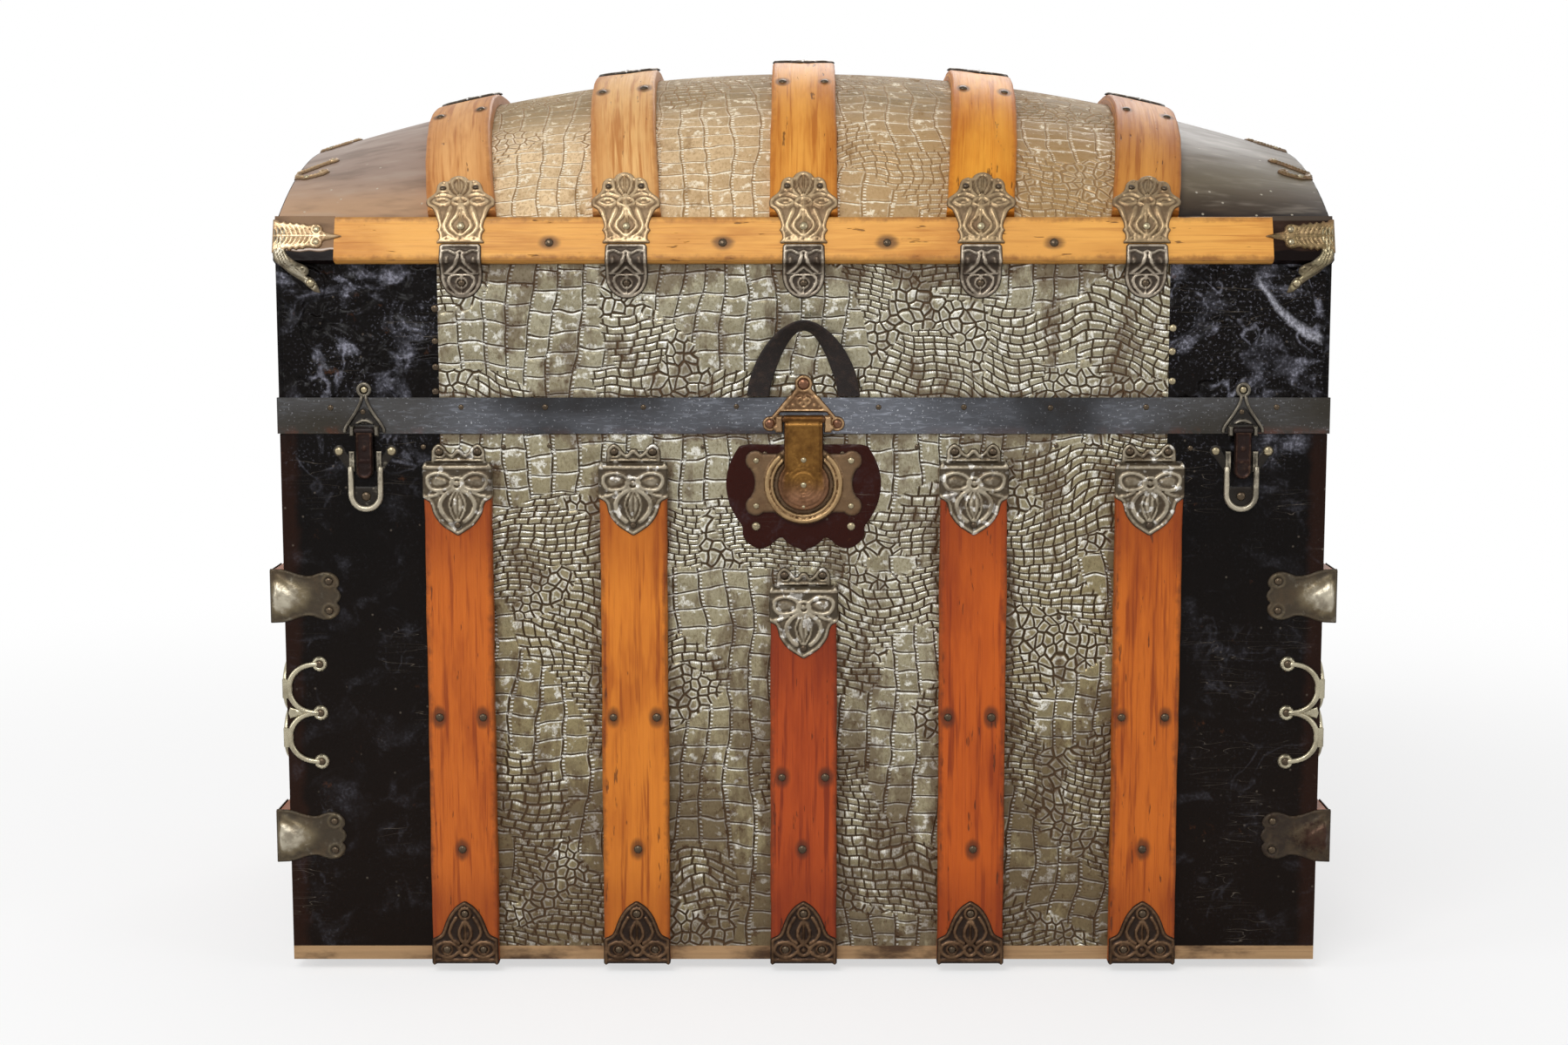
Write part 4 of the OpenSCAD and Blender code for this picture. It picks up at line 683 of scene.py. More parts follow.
half_w, half_d = 406.0, 240.0
tin_t, tin_seam_x = 0.6, 282.0
floor_z, seam_z, lid_z = 9.0, 429.0, 429.4
belt_h, belt_t = 28.0, 1.5
wall_top_z, spring_z, spring_y = 560.0, 595.0, 228.0
crown_rise, end_rise = 122.0, 57.0
crown_radius = half_w ** 2 / (2 * (crown_rise - end_rise))
slat_w, slat_t, slat_seat = 52.0, 9.0, 0.4
case_slat_x = (-268.0, -132.0, 0.0, 132.0, 268.0)
dome_slat_x = (-263.0, -136.0, 0.0, 136.0, 263.0)
slat_top_z = (405.0, 405.0, 308.0, 405.0, 405.0)
back_slat_top_z = (405.0,) * 5
end_slat_z, end_slat_w = (110.0, 302.0), 42.0
clamp_seat, cast_t = 0.35, 2.5
rail_slope = np.array([12.0, 35.0]) / math.hypot(12, 35)
rail_out = np.array([-rail_slope[1], rail_slope[0]])
rail_foot = np.array([-half_d + tin_t, wall_top_z])
rail_t, rail_face_h, rail_cap_w = 9.6, 35.5, 46.0
ring_z = 390.0
hasp_pin_y, hasp_pin_z, hasp_r, hasp_back_y = 245.5, 441.0, 20.0, 244.9
draw_x, draw_pin_y, draw_pin_z = 340.0, 244.7, 432.0
keeper_z, brace_z = 382.0, 209.0
handle_z, handle_half = 216.0, 82.0
nail_r, nail_sink, nail_spread = 3.3, 0.1, 17
rail_nail_x = (-195, -62, 64, 192)
dome_nail_t = 11 / 28
sides, sides_front_first = (-1, 1), (1, -1)


def unit(v):
    return v / np.linalg.norm(v, axis=-1, keepdims=True)


def slat_nails(number):
    """Nails of a case slat, by distance from its middle and height: a low one, and a pair, lower on the short slat."""
    low = (1.5 if number % 2 else -1, floor_z + 92)
    pair = floor_z + 198 - (48 if number == 2 else 0)
    return [low] + [(s * nail_spread - (2 if number > 2 else 0), pair) for s in sides]


def rise_at(x):
    return crown_rise - (crown_rise - end_rise) * (x / half_w) ** 2


def arch_point(x, t, inset=0.0, drop=0.0):
    """Point of the crowned dome at station x; t runs from -1 at the front to 1 at the back."""
    c, h = spring_y - inset, rise_at(x) - drop
    r = (c * c + h * h) / (2 * h)
    a = np.arcsin(c / r) * t
    return np.stack(np.broadcast_arrays(x, r * np.sin(a), spring_z + h - r + r * np.cos(a)), -1)


def arch_half_length(x):
    h = rise_at(x)
    r = (spring_y ** 2 + h * h) / (2 * h)
    return r * np.arcsin(spring_y / r)


def slat_centre(x0, t):
    z = arch_point(x0, t)[..., 2]
    return arch_point(x0 + (z - spring_z) * x0 / crown_radius, t, -slat_seat, -slat_seat)


def slat_side(c, t):
    return (arch_point(c[..., 0] + 1, t) - arch_point(c[..., 0] - 1, t)) / 2


def slat_normal(x0, t):
    return unit(np.cross(slat_side(slat_centre(x0, t), t),
                         slat_centre(x0, t + 0.01) - slat_centre(x0, t - 0.01)))


def on_slat(x0, t, across, up):
    c = slat_centre(x0, t)
    side = np.linalg.norm(slat_side(c, t), axis=-1)
    return (arch_point(c[..., 0] + across / side, t, -slat_seat, -slat_seat)
            + slat_normal(x0, t) * np.asarray(up)[..., None])


# ------------------------------------------------------------------ meshes

class Stock:
    """Points and faces of one piece, gathered shell by shell."""

    def __init__(self):
        self.points, self.faces, self.uv, self.relief, self.count = [], [], [], [], 0

    def add(self, points, faces, uv=None, relief=None, turn=(1, 1, 1)):
        points = np.asarray(points, float).reshape(-1, 3)
        faces = [np.asarray(f, int) for f in faces]
        if turn[0] * turn[1] * turn[2] < 0:
            faces = [f[..., ::-1] for f in faces]
        self.points.append(points * turn)
        self.faces += [f + self.count for f in faces]
        self.uv.append(np.zeros((len(points), 2)) if uv is None else np.asarray(uv, float).reshape(-1, 2))
        self.relief.append(np.zeros(len(points)) if relief is None else np.asarray(relief, float).ravel())
        self.count += len(points)
        return self

    def bar(self, path, radius, around, squash=1.0, up=(0, 1, 0), relief=0.0, turn=(1, 1, 1)):
        """Adds a rod with one relief all over."""
        points, faces, _ = rod(path, radius, around, squash, up)
        return self.add(points, faces, relief=np.full(len(points), relief), turn=turn)

    def make(self, name, body, material, nodes=(), slot=None, sharp=38):
        rows = []
        for block in self.faces:
            rows += block.tolist() if block.ndim == 2 else [block.tolist()]
        mesh = bpy.data.meshes.new(name)
        mesh.from_pydata((np.concatenate(self.points) * MM).tolist(), [], rows)
        mesh.materials.append(material)
        mesh.shade_smooth()
        mesh.set_sharp_from_angle(angle=math.radians(sharp))
        loop = np.empty(len(mesh.loops), int)
        mesh.loops.foreach_get("vertex_index", loop)
        mesh.uv_layers.new(name="UVMap").data.foreach_set("uv", np.concatenate(self.uv)[loop].ravel())
        mesh.attributes.new("relief", "FLOAT", "POINT").data.foreach_set("value", np.concatenate(self.relief))
        mesh.update()
        made = bpy.data.objects.new(name, mesh)
        bpy.context.scene.collection.objects.link(made)
        return settle(made, body, nodes)


def settle(made, body, nodes=()):
    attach(made, body)
    if nodes:
        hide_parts(*nodes)
    return made


def volume(points, faces):
    total = 0.0
    for block in faces:
        block = np.atleast_2d(block)
        for k in range(1, block.shape[1] - 1):
            a, b, c = points[block[:, 0]], points[block[:, k]], points[block[:, k + 1]]
            total += np.einsum("ij,ij->", a, np.cross(b, c))
    return total


def skin(rings, around=None, along=None, looped=False):
    """Closed skin over rings of equal length, as points, faces and uv."""
    rings = np.asarray(rings, float)
    count, size = rings.shape[:2]
    index = np.arange(count * size).reshape(count, size)
    a, b = (index, np.roll(index, -1, 0)) if looped else (index[:-1], index[1:])
    faces = [np.stack([a, np.roll(a, -1, 1), np.roll(b, -1, 1), b], -1).reshape(-1, 4)]
    if not looped:
        faces += [index[0][::-1].copy(), index[-1].copy()]
    points = rings.reshape(-1, 3)
    if volume(points - points.mean(0), faces) < 0:
        faces = [f[..., ::-1] for f in faces]
    if around is None:
        step = np.linalg.norm(np.diff(rings[0], axis=0), axis=1)
        around = np.concatenate([[0], np.cumsum(step)])
    if along is None:
        step = np.linalg.norm(np.diff(rings[:, 0], axis=0), axis=1)
        along = np.concatenate([[0], np.cumsum(step)])
    uv = np.stack(np.broadcast_arrays(np.asarray(around)[None, :], np.asarray(along)[:, None]), -1)
    return points, faces, uv


def curve(points, closed=False, steps=8):
    """Smooth line through points."""
    p = np.asarray(points, float)
    n = len(p)
    ends = (p[-1:], p[:2]) if closed else (2 * p[:1] - p[1:2], 2 * p[-1:] - p[-2:-1])
    q = np.concatenate([ends[0], p, ends[1]])
    u = np.linspace(0, 1, steps, endpoint=False)[:, None]
    out = []
    for i in range(n if closed else n - 1):
        a, b, c, d = q[i], q[i + 1], q[i + 2], q[i + 3]
        out.append(0.5 * (2 * b + (c - a) * u + (2 * a - 5 * b + 4 * c - d) * u ** 2
                          + (3 * b - a - 3 * c + d) * u ** 3))
    out.append(p[:1] if closed else p[-1:])
    return np.concatenate(out)


def rod(path, radius, around, squash=1.0, up=(0, 1, 0)):
    """Round bar along a path, with rounded ends; radius may change along it."""
    p = np.asarray(path, float)
    r = np.broadcast_to(radius, len(p)).astype(float)
    way = unit(np.gradient(p, axis=0))
    first, last = p[0] - way[0] * r[0] * 0.6, p[-1] + way[-1] * r[-1] * 0.6
    p = np.concatenate([[first], p, [last]])
    r = np.concatenate([[r[0] * 0.45], r, [r[-1] * 0.45]])
    way = np.concatenate([way[:1], way, way[-1:]])
    side = unit(np.cross(way, np.asarray(up, float)))
    over = np.cross(side, way)
    angle = np.linspace(0, 2 * np.pi, around, endpoint=False)
    rings = (p[:, None] + side[:, None] * np.cos(angle)[None, :, None] * r[:, None, None]
             + over[:, None] * np.sin(angle)[None, :, None] * r[:, None, None] * squash)
    return skin(rings)


# ------------------------------------------------------------------ slats and rails

def rounded_section(half, thick):
    """A slat's section, with worn round edges, and how far each point is from the middle."""
    edge, steps, tops = 2.4, 4, 8
    angle = np.linspace(0, np.pi / 2, steps + 1)
    left = np.stack([-half + edge * (1 - np.cos(angle)), thick - edge * (1 - np.sin(angle))], 1)
    top = np.stack([np.linspace(-half + edge, half - edge, tops + 1), np.full(tops + 1, thick)], 1)[1:-1]
    right = left[::-1] * (-1, 1)
    under = np.stack([np.linspace(half, -half, 5), np.zeros(5)], 1)
    ring = np.concatenate([left, top, right, under])
    step = np.linalg.norm(np.diff(ring, axis=0), axis=1)
    u = np.concatenate([[0], np.cumsum(step)])
    middle = len(left) + len(top) // 2
    return ring, u - u[middle]


def hand_worn(count, seed):
    """Slow irregular wobble of a hand-planed edge."""
    chance = np.random.default_rng(seed)
    s = np.arange(count)
    return 0.35 * sum(np.sin(s * w + chance.uniform(0, 6)) for w in (0.11, 0.23, 0.41, 0.87)) / 2


def at_edges(section, wobble):
    """The wobble of a section's two edges, inwards; the top between them stays."""
    return np.where(np.abs(section[:, 0]) > 20, wobble * np.sign(section[:, 0]) * 0.7, 0)


def upright_slat(x, top_z, seed, side=-1):
    section, u = rounded_section(slat_w / 2, slat_t)
    z = np.linspace(floor_z, top_z, 60)
    wobble = hand_worn(len(z), seed)
    rings = []
    for level, w in zip(z, wobble):
        across = section[:, 0] - at_edges(section, w)
        rings.append(np.stack([x + across, side * (half_d + section[:, 1]), np.full(len(section), level)], 1))
    return skin(rings, u, z)


slat_tones = ((176, 85, 20), (191, 106, 28), (157, 61, 13), (171, 74, 12), (178, 87, 18))
slat_finish = [varnished_oak("case_slat_oak_%d" % (i + 1), shade(*tone), shade(70, 30, 12), i * 137.0, 26.0,
                             ((slat_top_z[i] - 110, slat_top_z[i] - 45), (100, 52)), nails=slat_nails(i))
               for i, tone in enumerate(slat_tones)]
dome_tones = ((231, 170, 104), (243, 186, 118), (237, 163, 71), (242, 162, 57), (213, 145, 67))
dome_finish = [varnished_oak("dome_slat_oak_%d" % (i + 1), shade(*tone), shade(96, 46, 20), i * 91.0 + 700, 26.0,
                             ((54, 30),), 0.12,
                             [(s * nail_spread, -dome_nail_t * arch_half_length(dome_slat_x[i])) for s in sides])
               for i, tone in enumerate(dome_tones)]
rail_finish = varnished_oak("rail_oak", shade(208, 143, 64), shade(96, 46, 20), 1500.0, 17.0,
                            nails=[(rail_face_h * -0.1, x + 40) for x in rail_nail_x], wear=0.35)
end_slat_finish = varnished_oak("end_slat_oak", shade(176, 90, 34), shade(76, 34, 14), 2100.0, 21.0)

for i in range(5):
    Stock().add(*upright_slat(case_slat_x[i], slat_top_z[i], i)).make(
        "oak_slat_%d" % (i + 1), "case", slat_finish[i], ["front_slat_%d" % (i + 1)], "case_slat_oak")
back = Stock()
for i in range(5):
    back.add(*upright_slat(case_slat_x[i], back_slat_top_z[i], 10 + i, 1))
back.make("oak_back_slats", "case", slat_finish[1], ["back_slats"], "case_slat_oak")

ends = Stock()
section, u = rounded_section(end_slat_w / 2, slat_t)
for side in (-1, 1):
    for z in end_slat_z:
        y = np.linspace(-half_d, half_d, 60)
        rings = [np.stack([side * (half_w + section[:, 1]), np.full(len(section), yy), z + section[:, 0]], 1)
                 for yy in y]
        ends.add(*skin(rings, u, y + z * 7))
ends.make("oak_end_slats", "case", end_slat_finish, ["end_slats"], "case_slat_oak")

for i, x0 in enumerate(dome_slat_x):
    section, u = rounded_section(slat_w / 2, slat_t)
    t = np.linspace(-1, 1, 97)
    wobble = hand_worn(len(t), 40 + i)
    rings = [on_slat(x0, np.full(len(section), tt), section[:, 0] - at_edges(section, w), section[:, 1])
             for tt, w in zip(t, wobble)]
    Stock().add(*skin(rings, u, t * arch_half_length(x0))).make(
        "oak_dome_slat_%d" % (i + 1), "lid", dome_finish[i], ["dome_slat_%d" % (i + 1)], "dome_slat_oak")


def rail_point(x, down, up):
    """Point on the outer face of the front rail, down from its top edge."""
    p = (rail_foot + np.asarray(rail_face_h - down)[..., None] * rail_slope
         + np.asarray(rail_t + 0.02 + up)[..., None] * rail_out)
    return np.stack(np.broadcast_arrays(x, p[..., 0], p[..., 1]), -1)


rails = Stock()
section, u = rounded_section(rail_face_h / 2, rail_t)
x = np.linspace(-half_w + rail_cap_w, half_w - rail_cap_w, 90)
rings = [rail_point(np.full(len(section), xx), rail_face_h / 2 - section[:, 0], section[:, 1] - rail_t) for xx in x]
for side in (1, -1):
    rails.add(*skin(rings, u, x + side * 40), turn=(1, side, 1))
rails.make("oak_rails", "lid", rail_finish, ["lid_rails"], "dome_slat_oak")


# ------------------------------------------------------------------ crowned tin

def dome_sheet(x_from, x_to, columns, rows=97):
    """Sheet metal on the dome between two stations, as a closed skin."""
    x = np.linspace(x_from, x_to, columns)[None, :]
    t = np.linspace(-1, 1, rows)[:, None]
    top, foot = arch_point(x, t), arch_point(x, t, tin_t * 1.2, tin_t)
    index = np.arange(rows * columns).reshape(rows, columns)
    low = index + rows * columns
    quads = np.stack([index[:-1, :-1], index[:-1, 1:], index[1:, 1:], index[1:, :-1]], -1).reshape(-1, 4)
    rim = np.concatenate([index[0, :-1], index[:-1, -1], index[-1, :0:-1], index[:0:-1, 0]])
    walls = np.stack([rim, rim + rows * columns, np.roll(rim, -1) + rows * columns, np.roll(rim, -1)], -1)
    points = np.concatenate([top.reshape(-1, 3), foot.reshape(-1, 3)])
    faces = [quads, (quads + rows * columns)[:, ::-1], walls]
    v = t * arch_half_length(x)
    uv = np.stack(np.broadcast_arrays(x, v), -1).reshape(-1, 2)
    return points, faces, np.concatenate([uv, uv])


Stock().add(*dome_sheet(-tin_seam_x, tin_seam_x, 72)).make(
    "crocodile_dome", "lid", dome_tin, ["dome_croc_tin"], "embossed_tin")
dome_ends = Stock()
for side in (-1, 1):
    dome_ends.add(*dome_sheet(*sorted((side * tin_seam_x, side * (half_w - tin_t))), 26))
dome_ends.make("black_dome_ends", "lid", bronzed_tin, ["dome_end_tins"], "japanned_tin")

# ------------------------------------------------------------------ pressed and cast plates

def away(p, x, y):
    """Distance of points to one place."""
    return np.hypot(p[:, 0] - x, p[:, 1] - y)


def folded(p):
    """Points with the left half laid over the right."""
    return np.abs(p) * (1, 0) + p * (0, 1)


def from_line(p, line, closed=False):
    """Distance of points to a line of points."""
    line = np.asarray(line, float)
    a, b = (line, np.roll(line, -1, 0)) if closed else (line[:-1], line[1:])
    best = np.full(len(p), 1e9)
    for start, end in zip(a, b):
        d = end - start
        h = np.clip(((p - start) @ d) / max(d @ d, 1e-9), 0, 1)
        best = np.minimum(best, np.linalg.norm(p - start - h[:, None] * d, axis=1))
    return best


def polygon(line, is_half=False):
    """Signed distance to a closed outline, below zero inside it; is_half adds the left half."""
    line = np.asarray(line, float)
    if is_half:
        line = np.concatenate([line, (line * (-1, 1))[::-1]])

    def shape(p):
        inside = np.zeros(len(p), bool)
        for (ax, ay), (bx, by) in zip(line, np.roll(line, -1, 0)):
            if ay != by:
                crosses = (ay > p[:, 1]) != (by > p[:, 1])
                inside ^= crosses & (p[:, 0] < (bx - ax) * (p[:, 1] - ay) / (by - ay) + ax)
        d = from_line(p, line, True)
        return np.where(inside, -d, d)
    return shape


def disc(x, y, r):
    return lambda p: away(p, x, y) - r


def block(x0, y0, x1, y1):
    def shape(p):
        dx = np.abs(p[:, 0] - (x0 + x1) / 2) - (x1 - x0) / 2
        dy = np.abs(p[:, 1] - (y0 + y1) / 2) - (y1 - y0) / 2
        return np.hypot(np.maximum(dx, 0), np.maximum(dy, 0)) + np.minimum(np.maximum(dx, dy), 0)
    return shape


def joined(*shapes):
    return lambda p: np.min([s(p) for s in shapes], 0)


def cut(shape, *holes):
    return lambda p: np.max([shape(p)] + [-h(p) for h in holes], 0)


def even(shape):
    """The same on both sides of the middle line."""
    return lambda p: shape(folded(p))


def bead(distance, width, height):
    return height * np.sqrt(np.clip(1 - (distance / width) ** 2, 0, 1))


def soft(x, start, end):
    u = np.clip((x - start) / (end - start), 0, 1)
    return u * u * (3 - 2 * u)


def swelling(height, width):
    """A plate's height that rises from its rim inwards."""
    return lambda p, inside: height * soft(inside, 0, width)


def rimmed(inset, width, height):
    """A plate's height with a bead along its rim."""
    return lambda p, inside: bead(inside - inset, width, height)


def stamp(shape, height, lay, box, pitch=0.9, base=0.8):
    """A plate cut to shape and pressed to height(p, inside), laid on its carrier by lay(a, b, up).

    Returns points, faces, uv and relief for a Stock."""
    a = np.arange(box[0] - pitch, box[2] + 2 * pitch, pitch)
    b = np.arange(box[1] - pitch, box[3] + 2 * pitch, pitch)
    grid = np.stack(np.meshgrid(a, b), -1)
    index = np.arange(len(a) * len(b)).reshape(len(b), len(a))
    cells = np.stack([index[:-1, :-1], index[:-1, 1:], index[1:, 1:], index[1:, :-1]], -1).reshape(-1, 4)
    flat = grid.reshape(-1, 2)
    centre = flat[cells].mean(1)
    cells = cells[shape(centre) < 0]
    edges = np.concatenate([cells[:, [k, (k + 1) % 4]] for k in range(4)])
    key = np.sort(edges, 1)
    _, first, times = np.unique(key, axis=0, return_index=True, return_counts=True)
    rim = edges[first[times == 1]]
    on_rim = np.unique(rim)
    p = flat[on_rim]
    for _ in range(3):
        d = shape(p)
        gx = (shape(p + (0.05, 0)) - shape(p - (0.05, 0))) / 0.1
        gy = (shape(p + (0, 0.05)) - shape(p - (0, 0.05))) / 0.1
        p = p - np.clip(d, -1.2, 1.2)[:, None] * np.stack([gx, gy], 1)
    flat[on_rim] = p
    used, inverse = np.unique(cells, return_inverse=True)
    cells = inverse.reshape(-1, 4)
    place = {old: new for new, old in enumerate(used)}
    rim = np.array([[place[i], place[j]] for i, j in rim])
    flat = flat[used]
    inside = np.maximum(-shape(flat), 0)
    inside[np.isin(used, on_rim)] = 0
    up = base + height(flat, inside)
    up = up * (0.55 + 0.45 * soft(inside, 0, 0.9))
    top = lay(flat[:, 0], flat[:, 1], up)
    low = lay(flat[:, 0], flat[:, 1], np.zeros(len(flat)))
    n = len(flat)
    points = np.concatenate([top, low])
    walls = np.stack([rim[:, 1], rim[:, 0], rim[:, 0] + n, rim[:, 1] + n], 1)
    faces = [cells, (cells + n)[:, ::-1], walls]
    if volume(points - points.mean(0), faces) < 0:
        faces = [f[:, ::-1] for f in faces]
    uv = np.concatenate([flat, flat])
    return points, faces, uv, np.concatenate([up, up * 0])


def flat_wall(x0, z0, y0):
    """Lays a plate on a plane that faces the front."""
    return lambda a, b, up: np.stack([x0 + a, -(y0 + up), z0 + b], -1)


def end_wall(y0, z0, x0):
    """Lays a plate on a plane that faces the right."""
    return lambda a, b, up: np.stack([x0 + up, y0 + a, z0 + b], -1)


def bent(x0, path, start, wrap=None, lean=0.0):
    """Lays a plate over a bent line of [y, z] points, from its top; b counts up from start.

    wrap is the half width at which the plate turns back over the edges of a slat."""
    path = np.asarray(path, float)
    step = np.linalg.norm(np.diff(path, axis=0), axis=1)
    s = np.concatenate([[0], np.cumsum(step)])
    fine = np.arange(0, s[-1], 0.4)
    y, z = np.interp(fine, s, path[:, 0]), np.interp(fine, s, path[:, 1])
    kernel = np.hanning(9)[1:-1]
    kernel /= kernel.sum()
    pad = len(kernel) // 2

    def eased(v):
        longer = np.concatenate([2 * v[0] - v[pad:0:-1], v, 2 * v[-1] - v[-2:-pad - 2:-1]])
        return np.convolve(longer, kernel, "valid")
    y, z = eased(y), eased(z)
    ty, tz = np.gradient(y), np.gradient(z)
    size = np.hypot(ty, tz)
    ny, nz = tz / size, -ty / size

    def lay(a, b, up):
        d = start - b
        py, pz = np.interp(d, fine, y), np.interp(d, fine, z)
        my, mz = np.interp(d, fine, ny), np.interp(d, fine, nz)
        size = np.hypot(my, mz)
        my, mz = my / size, mz / size
        x = a
        if wrap:
            extra = np.maximum(np.abs(a) - wrap, 0)
            turn = np.minimum(extra / 1.8, np.pi / 2)
            back = 1.8 * (1 - np.cos(turn)) + np.maximum(extra - 1.8 * np.pi / 2, 0)
            x = np.sign(a) * (np.minimum(np.abs(a), wrap) + 1.8 * np.sin(turn) * 0.75 + up * np.sin(turn) * 0.3)
            up = up * np.cos(turn) - back
        return np.stack([x0 + x, py + my * up, pz + mz * up], -1)
    return lay


# ------------------------------------------------------------------ rivets, gathered for round_heads

rivets = {}


def rivet(body, kind, place, facing, radius):
    rivets.setdefault((body, kind), []).append((*np.asarray(place, float), *np.asarray(facing, float), radius))


def rivets_by(lay, body, kind, spots, lift, radius, turn=(1, 1, 1)):
    for a, b in spots:
        here, beyond = lay(np.array([a, a]), np.array([b, b]), np.array([lift, lift + 1.0]))
        rivet(body, kind, here * turn, unit(beyond - here) * turn, radius)


# ------------------------------------------------------------------ stamped clamps

def loop(points, steps=6):
    return curve(points, True, steps)


def ornament(strokes):
    """Height of raised lines and bosses, the same on both sides of the middle."""
    def height(p, inside, ridge=1.1, rim=1.7):
        q = folded(p)
        h = bead(inside - rim, 1.35, ridge)
        for kind, *rest in strokes:
            if kind == "line":
                line, width, tall = rest
                h = np.maximum(h, bead(from_line(q, line), width, tall))
            elif kind == "ring":
                x, y, r, width, tall = rest
                h = np.maximum(h, bead(away(q, x, y) - r, width, tall))
            elif kind == "boss":
                x, y, r, tall = rest
                h = np.maximum(h, bead(away(q, x, y), r, tall))
            elif kind == "leaf":
                line, tall = rest
                h = np.maximum(h, tall * soft(-polygon(line)(q), 0, 3.0))
        return h
    return height


shield_edge = np.concatenate([[(27.4, -0.6), (30.2, -1.5), (30.6, -12), (30.2, -22)],
                              curve([(28.5, -25.5), (22.4, -28.5), (20.4, -32), (19.2, -37), (16.6, -42), (12, -47.5),
                                     (6.4, -51.5), (0.8, -55)], steps=5)])
crown_edge = np.concatenate([[(0, 20.6)], curve([(2.2, 20.4), (5.4, 16.6), (8.6, 19.2), (10.6, 22.0), (14.8, 24.6),
                                                 (18.8, 22.4), (21.0, 18.6)], steps=4),
                             [(21.3, 9.6), (26.2, 8.4), (26.2, 0.4)]])
crown_shape = polygon(np.concatenate([crown_edge, shield_edge]), True)
crown_lines = ornament([
    ("line", [(0, 11.2), (20, 11.2)], 1.3, 1.0),
    ("line", [(0, 18.4), (5, 13.6), (9.8, 18.0)], 1.2, 1.1),
    ("ring", 14.8, 18.0, 4.6, 1.2, 0.9),
    ("line", [(0, -2.2), (28, -2.2)], 1.4, 1.2),
    ("line", loop([(3, -13), (8, -8), (15, -6.6), (21.5, -8.4), (23, -13.5), (19.5, -19), (12, -19.5), (6, -17.5)]),
     1.5, 1.5),
    ("leaf", loop([(5.6, -13), (10, -9.6), (17, -8.6), (21, -12.8), (18, -17.6), (10.5, -17.2)]), 0.8),
    ("ring", 0, -14.5, 4.6, 1.5, 1.7),
    ("boss", 0, -14.5, 2.3, 1.2),
    ("line", loop([(0, -20.6), (4.6, -25.5), (6.0, -32), (4.0, -39), (0, -43)]), 1.0, 1.2),
    ("leaf", loop([(0, -21.6), (3.8, -26), (4.8, -32), (3.0, -38.4), (0, -41.6)]), 2.0),
    ("line", curve([(4, -19.5), (9.4, -23.5), (13, -29), (12.6, -35.5), (9, -41), (5.4, -44)]), 1.9, 1.6),
    ("line", curve([(12, -21.5), (18, -24), (22, -24.5)]), 1.3, 1.2),
    ("leaf", loop([(13, -24), (18.5, -26.5), (16.5, -33), (14.5, -37), (15, -30)]), 0.8),
])
crown_rivets = ((-14.8, 18.0), (14.8, 18.0), (0, -47.0))

foot_edge = np.concatenate([[(0, 50.2)], curve([(1.5, 49.8), (7.5, 45.5), (12.5, 39.0), (15.6, 32.5), (17.2, 28.0),
                                                (19.6, 23.2), (24.6, 20.4)], steps=5),
                            [(26.2, 19.4), (26.4, 1.0), (26.2, -12.0)]])
foot_shape = polygon(foot_edge, True)
foot_lines = ornament([
    ("line", [(0, 2.4), (25, 2.4)], 1.3, 1.0),
    ("ring", 0, 40.2, 4.4, 1.2, 1.2),
    ("line", loop([(0, 33.5), (3.6, 29), (4.8, 23.5), (3, 18.5), (0, 16.8)]), 1.3, 1.5),
    ("leaf", loop([(0, 31), (2.2, 27), (2.2, 22), (0, 19)]), 0.8),
    ("line", curve([(7, 37), (10.5, 31), (12.4, 25), (10, 19.5), (5, 16)]), 1.3, 1.4),
    ("ring", 0, 10.4, 4.4, 1.4, 1.6),
    ("boss", 0, 10.4, 2.0, 1.1),
    ("line", loop([(4.8, 10.5), (8.5, 15.2), (15, 17), (21.5, 14.6), (22.8, 9.4), (18.4, 5.4), (12, 5), (7.6, 7)]),
     1.4, 1.4),
    ("ring", 14.4, 11.0, 3.9, 1.1, 1.0),
])
foot_rivets = ((0, 40.2), (-14.4, 11.0), (14.4, 11.0))


def slat_clamps():
    """Crown and foot clamps on the case's slats, front and back."""
    face = half_d + slat_t + 0.05
    crowns, feet = Stock(), Stock()
    for side, tops in ((1, slat_top_z), (-1, back_slat_top_z)):
        for x0, top in zip(case_slat_x, tops):
            path = [(-half_d - 0.05, top + 30), (-half_d - 0.05, top + 1.2), (-face, top + 1.0), (-face, top - 80)]
            lay = bent(x0, path, 28.8 + 9.0, wrap=25.2)
            turn = (1, side, 1)
            crowns.add(*stamp(crown_shape, crown_lines, lay, (-31, -56, 31, 25)), turn=turn)
            rivets_by(lay, "case", "dark", crown_rivets[:2], 1.2, 3.3, turn)
            rivets_by(lay, "case", "dark", crown_rivets[2:], 1.0, 2.9, turn)
            low = floor_z - 0.2
            path = [(-face, 120), (-face, low), (-half_d + 25, low)]
            lay = bent(x0, path, 120 - low)
            feet.add(*stamp(foot_shape, foot_lines, lay, (-27, -12, 27, 51)), turn=turn)
            rivets_by(lay, "case", "dark", foot_rivets, 1.0, 3.0, turn)
    crowns.make("crown_clamps_pressed", "case", tin_plate, ["crown_clamps"], "tinned_clamp", 50)
    feet.make("foot_clamps_pressed", "case", foot_plate, ["foot_clamps"], "tinned_clamp", 50)


